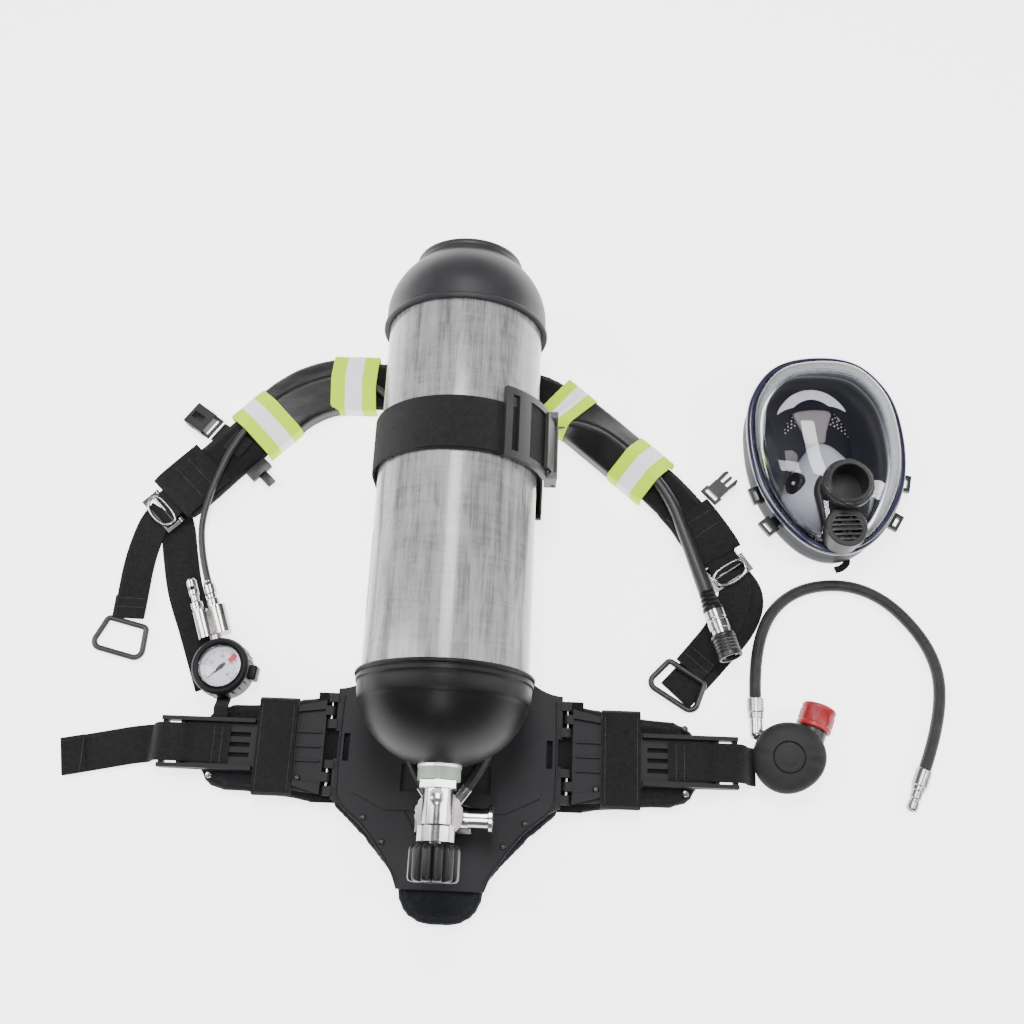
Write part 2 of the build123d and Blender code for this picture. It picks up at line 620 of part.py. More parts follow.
def at_gauge(along, side, z):
    """A point by its distance along the manifold and to its side."""
    return tuple(Vector(*GAUGE_AT, z) + GAUGE_DIR * along + GAUGE_SIDE * side)


def coupler():
    boot = turned([(5.5, 0), (8, 0), (8.6, 3), (7.8, 5), (9.2, 8), (8.4, 10), (9.9, 13), (9.0, 15),
                   (10.5, 18), (10.5, 22), (5.5, 22)], COUPLER_AT, COUPLER_DIR)
    boot += turned([(0, 4), (5.5, 4), (5.5, 22), (0, 22)], COUPLER_AT, COUPLER_DIR)
    body = turned([
        (0, 22), (10.5, 22), (10.5, 30), (9.9, 31), (9.9, 33), (10.5, 34), (10.5, 42), (9.5, 42), (9.5, 70),
        (8.5, 71), (5.7, 71), (5.7, 50), (4, 50), (4, 22.5), (0, 22.5),
    ], COUPLER_AT, COUPLER_DIR)
    sleeve = turned([(9.6, 48), (12, 48), (12, 52), (11.4, 53), (11.4, 67), (12, 68), (12, 73), (9.6, 73)],
                    COUPLER_AT, COUPLER_DIR)
    return boot, body, sleeve


def gauge():
    x, y = GAUGE_AT
    up = (0, 0, 1)
    floor = (x, y, 0)
    cover = turned([
        (0, GAUGE_Z), (26, GAUGE_Z), (GAUGE_R, GAUGE_Z + 3), (GAUGE_R, 33), (26, 37.5), (21.5, 38),
        (21.5, 36.3), (24.2, 36.3), (24.2, 7), (0, 7),
    ], floor, up)
    case = turned([(0, 7), (24, 7), (24, 34), (21, 34), (21, 13), (0, 13)], floor, up)
    inlet = rod(at_gauge(15, 0, STEM_Z), at_gauge(36, 0, STEM_Z), 6)
    cover -= rod(at_gauge(10, 0, STEM_Z), at_gauge(40, 0, STEM_Z), 6.2)
    case += inlet
    case -= rod((x, y, 20), (x, y, 34), 19)
    dial = rod((x, y, 29), (x, y, 31), 20.8) - rod((x, y, 28), (x, y, 32), 1.06)
    lens = rod((x, y, 34.2), (x, y, 36), 23.6) + rod((x, y, 35.8), (x, y, 36.8), 21.2)
    case += turned([(19, 20), (21, 20), (21, 29), (19, 29)], floor, up)

    needle = rod((x, y, 27), (x, y, 33), 1.0) + rod((x, y, 31.5), (x, y, 32.6), 2.6)
    pointer = slab([(-5, -1.4), (0, -1.0), (16, -0.3), (16, 0.3), (0, 1.0), (-5, 1.4)], (31.6, 32.4))
    needle += Pos(x, y, 0) * Rot(0, 0, 225) * pointer

    block_part = Pos(0, 0, 0) * Box(26, 22, 12)
    manifold = Plane(origin=at_gauge(50, 0, STEM_Z), x_dir=GAUGE_DIR, z_dir=up) * block_part
    for side in (-8.6, 8.6):
        manifold += rod(at_gauge(36, side, STEM_Z), at_gauge(66, side, STEM_Z), 8.4)
    fitting = [
        (0, 60), (6.6, 60), (6.6, 74), (5, 76), (5, 80), (6, 81), (6, 90), (4.6, 94), (4.6, 95), (0, 95),
    ]
    manifold += turned(fitting, at_gauge(0, -6, STEM_Z), GAUGE_DIR)
    manifold += rod(at_gauge(60, 11, STEM_Z), at_gauge(70, 11, STEM_Z), 5.5)
    pipe = turned([
        (0, 70), (6.2, 70), (6.2, 76), (4.2, 78), (4.2, 84), (5.2, 85), (5.2, 101), (4, 103),
        (2.8, 103), (2.8, 88),
        (0, 88),
    ], at_gauge(0, 11, STEM_Z), GAUGE_DIR)
    mouth = Plane(origin=at_gauge(92, 11, STEM_Z), x_dir=GAUGE_DIR, z_dir=up)
    pipe -= mouth * (Pos(0, 0, 4) * Box(4, 12, 4))
    return {
        "gauge_cover": cover,
        "gauge_case": case,
        "gauge_dial": dial,
        "gauge_lens": lens,
        "gauge_needle": needle,
        "gauge_manifold": manifold,
        "whistle": pipe,
    }


def air_lines():
    boot, body, sleeve = coupler()
    return gauge() | {
        "supply_hose": cord("supply_hose", SUPPLY_LINE, SUPPLY_R),
        "gauge_hose": cord("gauge_hose", GAUGE_LINE, GAUGE_HOSE_R),
        "coupler_boot": boot,
        "coupler_body": body,
        "coupler_sleeve": sleeve,
    }


# ---- Face mask -----------------------------------------------------------------------------
MASK_BUCKLES = ((303, 284.5, 105), (474, 292, -105), (312, 246, 125), (456, 246, -125), (384, 449, 0))
MASK_SIZE = 0.92              # scale of the drawn mask
MASK_TURN = 4.5               # degrees about the vertical
EGG = ((0, 116), (46, 106), (76, 68), (84, 18), (78, -34), (59, -76), (32, -106), (0, -117))
EGG_HALF = (84.0, 116.0)      # half width and half length of the outline
PORT_AT = (388, 268)
PORT_R = 20.0
VALVE_AT = (383, 222)         # exhalation valve
VISOR = (83.0, 119.0, 58.0)   # half axes of the visor's dome
VISOR_Z = 38.0
CUP = (54.0, 62.0, 60.0)      # half axes of the inner mask
CUP_AT = (384, 286, 18)


def egg(inset, z):
    """The mask's outline made smaller by inset, as a solid between two heights."""
    sx, sy = (1 - inset / half for half in EGG_HALF)
    right = [(x * sx, y * sy) for x, y in EGG]
    left = [(-x, y) for x, y in right[1:-1]]
    line = Spline(*right, *reversed(left), periodic=True)
    return Pos(*MASK_AT, z[0]) * extrude(make_face(line), amount=z[1] - z[0])


def dome(half_axes, at):
    """An ellipsoid."""
    return Pos(*at) * scale(Sphere(1), by=tuple(half_axes))


def exhaler(radius, z):
    return rod((*VALVE_AT, z[0]), (*VALVE_AT, z[1]), radius)


def chin_block(grow, z):
    """The lower part of the front housing, between the port and the exhalation valve."""
    (x, y), wide = VALVE_AT, 20 + grow
    return block((x - wide, x + wide + 4), (y - 6 - grow, y + 44), z)


def as_worn(shape):
    """A piece of the mask, which is drawn upright and too large, at its real size and turn."""
    small = scale(shape, by=MASK_SIZE, about=(*MASK_AT, 0))
    return Pos(*MASK_AT, 0) * Rot(0, 0, MASK_TURN) * Pos(-MASK_AT[0], -MASK_AT[1], 0) * small


def mask():
    skirt = egg(0, (0, 40)) - egg(4.5, (3.5, 41)) - egg(24, (-1, 5))
    clamp = egg(-2, (40.3, 50)) - egg(5, (30, 60))
    screen = (egg(5.3, (41, 120)) & dome(VISOR, (*MASK_AT, VISOR_Z)))
    screen -= dome([half - 3 for half in VISOR], (*MASK_AT, VISOR_Z))
    screen -= egg(8.5, (30, 45))
    screen -= rod((*PORT_AT, 30), (*PORT_AT, 120), 28.3)
    screen -= chin_block(1.3, (30, 120))
    screen -= exhaler(23.3, (30, 120))

    front = rod((*PORT_AT, 58), (*PORT_AT, 100), 26) + rod((*PORT_AT, 88), (*PORT_AT, 93), 28)
    front += chin_block(0, (54, 74)) + exhaler(22, (54, 80))
    front -= rod((*PORT_AT, 50), (*PORT_AT, 110), PORT_R)
    front -= exhaler(17, (66, 90))
    front -= exhaler(9, (50, 90))
    front -= exhaler(2.06, (50, 90))
    for k in range(3):
        bar = Pos(*VALVE_AT, 78.4) * Rot(0, 0, 60 * k) * Box(36, 3, 2)
        front += bar
    front += exhaler(3.8, (60, 63)) + Pos(*VALVE_AT, 61.5) * Box(20, 3, 3)
    front -= exhaler(2.06, (50, 70))

    disc = exhaler(15.5, (66.2, 67.8)) + exhaler(2.0, (58, 67))
    cup = dome(CUP, CUP_AT) - dome([half - 3 for half in CUP], CUP_AT)
    cup -= block((300, 460), (150, 420), (-60, 9))
    cup -= rod((*PORT_AT, 0), (*PORT_AT, 120), 26.4)
    cup -= chin_block(0.4, (53.6, 120))
    cup -= exhaler(22.4, (53.6, 120))

    plate = [Pos(384, 388, 7) * Box(64, 44, 2)]
    for x, y in ((322, 388), (446, 388), (384, 420)):
        direction = heading((384, 388, 0), (x, y, 0))
        wide = abs(direction.X) > 0.5
        arm = Pos((x + 384) / 2 + direction.X * 16, (y + 388) / 2 + direction.Y * 11, 7)
        size = (abs(x - 384) - 33, 14, 2) if wide else (14, abs(y - 388) - 23, 2)
        plate.append(arm * Box(*size))
    plate.append(slab([(402, 206), (407, 200), (389, 196.5), (384, 201)], (0.2, 2)))
    buckles = []
    for x, y, turn in MASK_BUCKLES:
        frame = Box(20, 15, 6) - Pos(0, 2, 0) * Box(12, 4, 10) + Pos(0, -9, 0) * Box(12, 5, 2.5)
        buckles.append(Pos(x, y, 22) * Rot(0, 0, turn) * frame)
    drawn = {
        "mask_skirt": skirt,
        "visor_clamp": clamp,
        "visor": screen,
        "mask_front": front,
        "exhalation_disc": disc,
        "inner_mask": cup,
        "head_harness": Compound(children=plate),
        "mask_buckles": Compound(children=buckles),
    }
    return {name: as_worn(shape) for name, shape in drawn.items()}


# ---- Demand valve and its hose -------------------------------------------------------------
DV_AT = (334, 7, 21)
DV_UP = (-0.16, -0.12, 1)
DV_R = 34.0
OUTLET_FROM = (351, 12, 20)
OUTLET_TO = (366, 53.3, 20)
DV_HOSE_R = 6.0
SWIVEL_Y = 45.7
DV_LINE = (
    (305, 66, 14), (305, 130, 14), (350, 187, 7), (430, 191, 6.5),
    (490, 128, 6.5), (494, 60, 9), (470, 2, 9),
)


def demand_valve():
    body = turned([
        (0, -13), (24, -13), (30, -8), (30, 7), (27, 7), (27, -5), (22, -10), (0, -10),
    ], DV_AT, DV_UP)
    outlet_dir = heading(OUTLET_FROM, OUTLET_TO)
    spout = rod(OUTLET_FROM, OUTLET_TO, 13.8)
    elbow = rod((322, 24, 14), (305, 31, 14), 6.5) + Pos(305, 31, 14) * Sphere(6.5)
    elbow += rod((305, 31, 14), (305, SWIVEL_Y, 14), 6.5)
    keep_out = turned([(0, -10), (22, -10), (27, -5), (27, 7.3), (36, 7.3), (36, 40), (0, 40)], DV_AT, DV_UP)
    bore = rod(ahead(OUTLET_FROM, outlet_dir, -4), ahead(OUTLET_TO, outlet_dir, 1), 10)
    body = body + (spout - keep_out) - bore
    cover = turned([
        (15, 19), (24, 18.5), (32, 16), (DV_R, 11), (DV_R, 7.3),
        (31, 7.3), (31, 10.5), (29, 13.2), (24, 15.4),
        (15, 16),
    ], DV_AT, DV_UP)
    button = turned([(0, 21), (9, 20.5), (14.6, 18.5), (14.6, 12), (0, 12)], DV_AT, DV_UP)
    cap_end = ahead(OUTLET_FROM, outlet_dir, 49)
    cap = rod(ahead(OUTLET_FROM, outlet_dir, 25), cap_end, 16.8)
    cap -= rod(OUTLET_FROM, ahead(OUTLET_TO, outlet_dir, 1), 14.2)
    cover -= rod(OUTLET_FROM, ahead(cap_end, outlet_dir, 60), 17.2)
    ferrule = turned([(0, 0), (7.5, 0), (7.5, 5), (8.4, 6), (8.4, 19), (7, 20), (0, 20)], (305, SWIVEL_Y + 0.3, 14),
                     (0, 1, 0))
    end_dir = heading(DV_LINE[-2], DV_LINE[-1])
    plug = turned([
        (0, 0), (7.4, 0), (7.8, 1), (7.8, 17), (6.6, 18), (6.6, 22),
        (5.6, 23), (5.6, 30), (4.6, 31), (4.6, 33),
        (5.6, 34), (5.6, 41), (4.6, 42.5), (0, 42.5),
    ], DV_LINE[-1], end_dir)
    plug -= rod(ahead(DV_LINE[-1], end_dir, 20), ahead(DV_LINE[-1], end_dir, 50), 2.6)
    return {
        "dv_body": body,
        "dv_elbow": elbow - turned([(0, -13), (24, -13), (30, -8), (30, 9), (0, 9)], DV_AT, DV_UP),
        "dv_cover": cover,
        "dv_purge_button": button,
        "dv_outlet_cap": cap,
        "dv_hose": cord("dv_hose", DV_LINE, DV_HOSE_R),
        "dv_hose_fittings": Compound(children=[ferrule, plug]),
    }


# ---- Output --------------------------------------------------------------------------------
def main():
    os.makedirs("parts", exist_ok=True)
    nodes = cylinder() | valve() | reducer() | backplate() | wing(-1) | wing(1) | band()
    nodes = nodes | harness() | air_lines() | mask() | demand_valve()
    for name, shape in nodes.items():
        export_step(shape, f"parts/{name}.step")
    print(len(nodes), "nodes written")


main()
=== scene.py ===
import json
import math
import bmesh
import bpy
from mathutils import Matrix, Vector, noise
from mathutils.geometry import convex_hull_2d, delaunay_2d_cdt

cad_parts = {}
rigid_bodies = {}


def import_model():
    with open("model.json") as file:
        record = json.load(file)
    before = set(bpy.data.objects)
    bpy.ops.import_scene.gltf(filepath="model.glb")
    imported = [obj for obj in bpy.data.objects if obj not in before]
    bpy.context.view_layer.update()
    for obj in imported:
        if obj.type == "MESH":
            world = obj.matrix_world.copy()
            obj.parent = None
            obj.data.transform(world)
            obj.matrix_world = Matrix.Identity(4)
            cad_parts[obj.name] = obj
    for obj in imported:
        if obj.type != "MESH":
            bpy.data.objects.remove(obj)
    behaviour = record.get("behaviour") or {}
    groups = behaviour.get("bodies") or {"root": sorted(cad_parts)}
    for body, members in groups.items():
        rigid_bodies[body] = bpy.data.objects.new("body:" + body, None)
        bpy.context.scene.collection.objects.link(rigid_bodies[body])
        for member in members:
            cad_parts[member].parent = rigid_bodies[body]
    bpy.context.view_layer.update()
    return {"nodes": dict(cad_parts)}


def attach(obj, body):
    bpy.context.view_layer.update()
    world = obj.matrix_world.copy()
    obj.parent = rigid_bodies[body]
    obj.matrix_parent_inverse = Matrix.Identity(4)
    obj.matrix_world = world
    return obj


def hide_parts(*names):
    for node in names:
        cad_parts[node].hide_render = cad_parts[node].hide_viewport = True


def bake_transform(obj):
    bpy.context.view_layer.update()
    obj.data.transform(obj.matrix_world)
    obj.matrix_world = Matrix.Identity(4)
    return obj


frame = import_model()
Z = Vector((0, 0, 1))
SIDES = ((-1, "left"), (1, "right"))


# ---- materials: every pattern is made from nodes ------------------------------------------
class Mat:
    """A Principled material with short ways to add patterns."""

    def __init__(self, name, color, rough=0.5, metal=0.0, **fixed):
        self.mat = bpy.data.materials.new(name)
        self.mat.use_nodes = True
        self.tree = self.mat.node_tree
        self.bsdf = self.tree.nodes["Principled BSDF"]
        self.put("Base Color", (*color, 1))
        self.put("Roughness", rough)
        self.put("Metallic", metal)
        for key, value in fixed.items():
            self.put(key.replace("_", " ").title().replace("Ior", "IOR"), value)
        self.heights = []

    def put(self, socket, value):
        self.bsdf.inputs[socket].default_value = value

    def link(self, out, socket):
        self.tree.links.new(out, socket)

    def add(self, kind, *inputs, **settings):
        node = self.tree.nodes.new("ShaderNode" + kind)
        for key, value in settings.items():
            setattr(node, key, value)
        for i, value in enumerate(inputs):
            if value is None:
                continue
            if isinstance(value, bpy.types.NodeSocket):
                self.link(value, node.inputs[i])
            else:
                node.inputs[i].default_value = value
        return node

    def math(self, op, a, b=0.0):
        return self.add("Math", a, b, operation=op).outputs[0]

    def coords(self, scale=(1, 1, 1), uv=False, turn=0.0):
        source = self.add("TexCoord").outputs["UV" if uv else "Object"]
        m = self.add("Mapping", source)
        m.inputs["Scale"].default_value = scale
        m.inputs["Rotation"].default_value = (0, 0, math.radians(turn))
        return m.outputs[0]

    def noise(self, scale, coords=None, detail=4.0, rough=0.55, distort=0.0):
        n = self.add("TexNoise")
        self.link(coords or self.coords(), n.inputs["Vector"])
        for key, value in (("Scale", scale), ("Detail", detail), ("Roughness", rough),
                           ("Distortion", distort)):
            n.inputs[key].default_value = value
        return n.outputs["Fac"]

    def ramp(self, fac, stops):
        r = self.add("ValToRGB", fac)
        for stop in stops[2:]:
            r.color_ramp.elements.new(stop[0])
        for element, (place, value) in zip(r.color_ramp.elements, stops):
            element.position = place
            element.color = (*value, 1) if isinstance(value, tuple) else (value, value, value, 1)
        return r.outputs[0]

    def color(self, fac, stops):
        self.link(self.ramp(fac, stops), self.bsdf.inputs["Base Color"])
        return self

    def vary(self, fac, low, high):
        spread = self.add("MapRange", fac)
        spread.inputs["To Min"].default_value, spread.inputs["To Max"].default_value = low, high
        self.link(spread.outputs[0], self.bsdf.inputs["Roughness"])
        return self

    def bump(self, height, distance, strength=1.0):
        b = self.add("Bump")
        b.inputs["Strength"].default_value, b.inputs["Distance"].default_value = strength, distance
        self.link(height, b.inputs["Height"])
        if self.heights:
            self.link(self.heights[-1], b.inputs["Normal"])
        self.heights.append(b.outputs[0])
        self.link(b.outputs[0], self.bsdf.inputs["Normal"])
        return self

    def waves(self, pitches, uv=False, turn=0.0):
        """Crossed ribs: the product of sines with the given pitches in metres."""
        parts = self.add("SeparateXYZ", self.coords((1, 1, 1), uv, turn))
        total = None
        for out, pitch in zip(parts.outputs, pitches):
            if not pitch:
                continue
            s = self.math("SINE", self.math("MULTIPLY", out, 2 * math.pi / pitch))
            total = s if total is None else self.math("MULTIPLY", total, s)
        return total


def woven(name, base, light, pitches, uv, depth=0.0003, turn=0.0):
    m = Mat(name, base, 0.9, specular_ior_level=0.16, sheen_weight=0.05, sheen_roughness=0.5)
    weave = m.waves(pitches, uv, turn)
    fuzz = m.noise(260, detail=6)
    cloud = m.noise(14, detail=3)
    mixed = m.math("ADD", m.math("MULTIPLY", weave, 0.28), m.math("ADD", m.math("MULTIPLY", fuzz, 0.7),
            m.math("MULTIPLY", cloud, 0.35)))
    m.color(mixed, [(0.2, base), (0.9, light)])
    m.bump(weave, depth, 0.8).bump(fuzz, 0.0004, 0.35)
    return m.mat


def plastic(name, base, light, rough=0.45, grain=900, depth=0.00012, **more):
    m = Mat(name, base, rough, **more)
    fine = m.noise(grain, detail=2)
    broad = m.noise(22, detail=5)
    m.color(broad, [(0.3, base), (0.75, light)]).vary(broad, rough - 0.06, rough + 0.1)
    m.bump(fine, depth, 0.7)
    return m.mat


def metal(name, base, rough, scratch=0.00003):
    m = Mat(name, base, rough, 1.0)
    smear = m.noise(60, m.coords((1, 1, 1)), 6)
    fine = m.noise(700, m.coords((1, 0.08, 1)), 3)
    m.color(smear, [(0.3, tuple(c * 0.82 for c in base)), (0.7, base)]).vary(smear, rough * 0.6, rough * 1.7)
    m.bump(fine, scratch, 0.6)
    return m.mat


def composite():
    m = Mat("mat_composite", (0.5, 0.5, 0.5), 0.27, coat_weight=0.45, coat_roughness=0.12)
    streak = m.noise(1.0, m.coords((150, 7, 150)), 8, 0.7, 0.5)
    smoke = m.noise(1.0, m.coords((44, 11, 44)), 7, 0.66, 1.2)
    hair = m.noise(1.0, m.coords((900, 30, 900)), 3, 0.6)
    cross = m.noise(1.0, m.coords((24, 150, 24)), 5, 0.6, 0.8)
    a = m.math("ADD", m.math("MULTIPLY", streak, 0.5), m.math("MULTIPLY", smoke, 0.42))
    b = m.math("ADD", m.math("MULTIPLY", hair, 0.2), m.math("MULTIPLY", cross, 0.18))
    total = m.math("ADD", a, b)
    m.color(total, [(0.44, (0.035, 0.034, 0.037)), (0.55, (0.10, 0.096, 0.10)), (0.65, (0.19, 0.185, 0.19)),
                    (0.82, (0.34, 0.33, 0.335))])
    m.vary(total, 0.16, 0.34).bump(hair, 0.00012, 0.35)
    return m.mat


def clear(name, tint, gloss, solid, through):
    """See-through plastic: mostly transparent, with gloss that grows at glancing angles."""
    m = Mat(name, tint, gloss, 1.0)
    see = m.add("BsdfTransparent", (through, through, through * 1.02, 1))
    weight = m.add("LayerWeight", 0.22)
    smear = m.noise(9, detail=3)
    fac = m.math("ADD", m.math("MULTIPLY", weight.outputs["Fresnel"], 0.9), m.math("MULTIPLY", smear, solid))
    mix = m.add("MixShader", fac, see.outputs[0], m.bsdf.outputs[0])
    m.link(mix.outputs[0], m.tree.nodes["Material Output"].inputs["Surface"])
    return m.mat


def reflective():
    """Fluorescent tape with a silver centre stripe, across the strap along U. Its emission is a painted glow
    on both the lime and the silver.
    """
    # emission_strength here is a painted glow: the tape lights itself though it is no lamp
    m = Mat("mat_reflective", (0.6, 0.9, 0.05), 0.65, emission_strength=0.3, specular_ior_level=0.2)
    parts = m.add("SeparateXYZ", m.coords((1, 1, 1), True))
    across = m.math("ABSOLUTE", m.math("SUBTRACT", parts.outputs[1], 0.5))
    edge = m.math("ADD", across, m.math("MULTIPLY", m.noise(40), 0.012))
    lime, silver = (0.47, 0.74, 0.0), (0.80, 0.78, 0.86)
    stripe_and_glow = m.ramp(edge, [(0.185, silver), (0.2, lime)])
    m.link(stripe_and_glow, m.bsdf.inputs["Base Color"])
    # the stripe colours also feed the emission, which paints a glow on the lime and the silver
    m.link(stripe_and_glow, m.bsdf.inputs["Emission Color"])
    m.bump(m.waves((0.0011, 0.0011, 0)), 0.00012, 0.7).bump(m.noise(70, detail=3), 0.0009, 0.5)
    return m.mat


WEBBING = woven("mat_webbing", (0.004, 0.004, 0.0045), (0.020, 0.020, 0.021), (0.0022, 0.0014), True, 0.0003)
PADDING = woven("mat_padding", (0.003, 0.003, 0.0035), (0.015, 0.015, 0.017), (0.0016, 0.0016, 0), False,
                0.00022, 45)
TONGUE = woven("mat_tongue", (0.003, 0.0034, 0.0042), (0.015, 0.016, 0.021), (0.002, 0.002, 0), False, 0.0003,
               45)
PLATE = plastic("mat_plate", (0.0045, 0.0047, 0.0056), (0.010, 0.0105, 0.0125), 0.55, 1100, 0.0002,
                specular_ior_level=0.25)
BLACK = plastic("mat_black_plastic", (0.005, 0.005, 0.0055), (0.012, 0.012, 0.013), 0.38)
BUCKLE = plastic("mat_buckle", (0.012, 0.012, 0.013), (0.024, 0.024, 0.026), 0.42)
RUBBER = plastic("mat_rubber", (0.003, 0.003, 0.0035), (0.007, 0.007, 0.0075), 0.38, 420, 0.00005,
                 specular_ior_level=0.15)
SLEEVE = plastic("mat_sleeve", (0.003, 0.003, 0.0035), (0.008, 0.008, 0.009), 0.36, 260, 0.0003,
                 specular_ior_level=0.3)
DOME = plastic("mat_dome", (0.006, 0.006, 0.0065), (0.017, 0.017, 0.018), 0.6, 420, 0.00008,
               specular_ior_level=0.3)
CAPRUB = plastic("mat_cap_rubber", (0.013, 0.013, 0.0145), (0.024, 0.024, 0.027), 0.45, 500, 0.00006,
                 specular_ior_level=0.35)
WHEEL = plastic("mat_wheel", (0.003, 0.003, 0.0035), (0.008, 0.008, 0.009), 0.36, 600, 0.00008,
                specular_ior_level=0.25)
HOSE = plastic("mat_hose", (0.005, 0.005, 0.0055), (0.013, 0.013, 0.014), 0.42, 1500, 0.00009)
NAVY = plastic("mat_navy", (0.008, 0.008, 0.026), (0.020, 0.020, 0.055), 0.22, 300, 0.00003, coat_weight=0.3)
MASKRUB = plastic("mat_mask_rubber", (0.003, 0.003, 0.008), (0.008, 0.008, 0.018), 0.45, 500, 0.00005,
                  specular_ior_level=0.22)
CUPRUB = plastic("mat_inner_mask", (0.62, 0.60, 0.66), (0.76, 0.74, 0.80), 0.36, 300, 0.00003,
                 subsurface_weight=0.1)
TAUPE = plastic("mat_taupe_rubber", (0.20, 0.18, 0.18), (0.30, 0.27, 0.26), 0.45, 300, 0.00003)
RED = plastic("mat_red_cap", (0.24, 0.001, 0.004), (0.33, 0.004, 0.009), 0.42, 400, 0.00004)
NECK = plastic("mat_neck", (0.20, 0.23, 0.20), (0.30, 0.33, 0.30), 0.35, 300, 0.00005, subsurface_weight=0.2)
VALVEP = plastic("mat_valve_plastic", (0.004, 0.004, 0.0045), (0.010, 0.010, 0.011), 0.42, 500, 0.0001)
WHITE = plastic("mat_dial", (0.72, 0.72, 0.74), (0.82, 0.82, 0.84), 0.4, 600, 0.00002)
GREY = plastic("mat_grey_rubber", (0.30, 0.31, 0.34), (0.42, 0.43, 0.46), 0.45)
INK = plastic("mat_ink", (0.03, 0.03, 0.035), (0.05, 0.05, 0.055), 0.5)
REDINK = plastic("mat_red_ink", (0.6, 0.03, 0.03), (0.75, 0.06, 0.05), 0.45)
LABEL = plastic("mat_label", (0.6, 0.6, 0.6), (0.72, 0.72, 0.72), 0.3, 300, 0.00003)
CHROME = metal("mat_chrome", (0.46, 0.44, 0.43), 0.17)
STEEL = metal("mat_steel", (0.36, 0.35, 0.345), 0.24, 0.00006)
BRASS = metal("mat_brass", (0.72, 0.53, 0.25), 0.3)
ALU = metal("mat_aluminium", (0.72, 0.73, 0.75), 0.35)
COMPOSITE = composite()
VISOR = clear("mat_visor", (0.92, 0.93, 0.96), 0.03, 0.02, 0.88)
LENS = clear("mat_lens", (0.92, 0.93, 0.96), 0.03, 0.02, 0.97)
REFLECT = reflective()
GREYWHITE = plastic("mat_harness_light", (0.70, 0.68, 0.74), (0.85, 0.83, 0.88), 0.5)


# ---- making pieces (lengths in millimetres) ------------------------------------------------
def heading(a, b):
    return (Vector(b) - Vector(a)).normalized()


def place(at, x_dir=(1, 0, 0), up=(0, 0, 1)):
    """A matrix for a local frame: X along x_dir, Z up, in millimetres to metres."""
    z = Vector(up).normalized()
    x = Vector(x_dir)
    x = (x - z * x.dot(z)).normalized()
    y = z.cross(x)
    m = Matrix((x, y, z)).transposed().to_4x4()
    return Matrix.Translation(Vector(at) * 0.001) @ m @ Matrix.Scale(0.001, 4)


FLAT = place((0, 0, 0))


def finish_mesh(o, angle=32):
    o.data.shade_smooth()
    o.data.set_sharp_from_angle(angle=math.radians(angle))
    return o


def settle(o):
    """Applies the modifiers of an object to its mesh."""
    dg = bpy.context.evaluated_depsgraph_get()
    made = bpy.data.meshes.new_from_object(o.evaluated_get(dg))
    o.modifiers.clear()
    old, o.data = o.data, made
    bpy.data.meshes.remove(old)
    return o


def piece(name, verts, faces, mat, body=None, m=FLAT, uvs=None, angle=32, bevel=0.0, steps=2, slot=None,
          gone=()):
    mesh = bpy.data.meshes.new(name)
    mesh.from_pydata([tuple(m @ Vector(v)) for v in verts], [], faces)
    if uvs:
        layer = mesh.uv_layers.new(name="UVMap")
        for loop in mesh.loops:
            layer.data[loop.index].uv = uvs[loop.vertex_index]
    bm = bmesh.new()
    bm.from_mesh(mesh)
    bmesh.ops.remove_doubles(bm, verts=bm.verts, dist=1e-6)
    bmesh.ops.recalc_face_normals(bm, faces=bm.faces)
    if bevel:
        edges = [e for e in bm.edges if len(e.link_faces) == 2 and e.calc_face_angle(0) > math.radians(30)]
        bmesh.ops.bevel(bm, geom=edges, offset=bevel * 0.001, segments=steps, profile=0.5, affect="EDGES",
                        clamp_overlap=True)
    bm.to_mesh(mesh)
    bm.free()
    o = bpy.data.objects.new(name, mesh)
    bpy.context.collection.objects.link(o)
    mesh.materials.append(mat)
    finish_mesh(o, angle)
    if body:
        tell(o, body, gone)
    return o


def tell(o, body, gone=()):
    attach(o, body)
    if gone:
        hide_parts(*gone)
    return o


def grid(rows, close_u=False, close_v=False, caps=False):
    """Vertices and faces of a grid of points. U runs inside a row and V from row to row."""
    n = len(rows[0])
    verts = [p for row in rows for p in row]
    faces = []
    for i in range(len(rows) if close_v else len(rows) - 1):
        a, b = i * n, ((i + 1) % len(rows)) * n
        for j in range(n if close_u else n - 1):
            k = (j + 1) % n
            faces.append((a + j, a + k, b + k, b + j))
    if caps:
        faces += [tuple(reversed(range(n))), tuple(range(len(verts) - n, len(verts)))]
    return verts, faces


def lathe(name, profile, mat, body, at=(0, 0, 0), along=(0, 0, 1), seg=96, closed=True, **more):
    """A turned piece from (radius, height) points."""
    m = place(at, (1, 0.0013, 0.0007) if abs(Vector(along).normalized().x) < 0.9 else (0, 1, 0), along)
    rows = []
    for k in range(seg):
        a = 2 * math.pi * k / seg
        rows.append([(r * math.cos(a), r * math.sin(a), h) for r, h in profile])
    v, f = grid(rows, closed, True)
    return piece(name, v, f, mat, body, m, **more)


def prism(name, points, z, mat, body, m=FLAT, bevel=0.8, **more):
    """A plate with the given outline between two heights, with softened edges."""
    n = len(points)
    v = [(x, y, z[0]) for x, y in points] + [(x, y, z[1]) for x, y in points]
    f = [tuple(reversed(range(n))), tuple(range(n, 2 * n))]
    f += [(i, (i + 1) % n, n + (i + 1) % n, n + i) for i in range(n)]
    return piece(name, v, f, mat, body, m, bevel=bevel, **more)


def brick(name, x, y, z, mat, body, m=FLAT, bevel=0.8, **more):
    return prism(name, [(x[0], y[0]), (x[1], y[0]), (x[1], y[1]), (x[0], y[1])], z, mat, body, m, bevel,
                 **more)


def spline_point(a, b, c, d, t):
    """A point between b and c on a Catmull-Rom curve."""
    return 0.5 * (2 * b + (c - a) * t + (2 * a - 5 * b + 4 * c - d) * t * t
                  + (3 * b - a - 3 * c + d) * t ** 3)


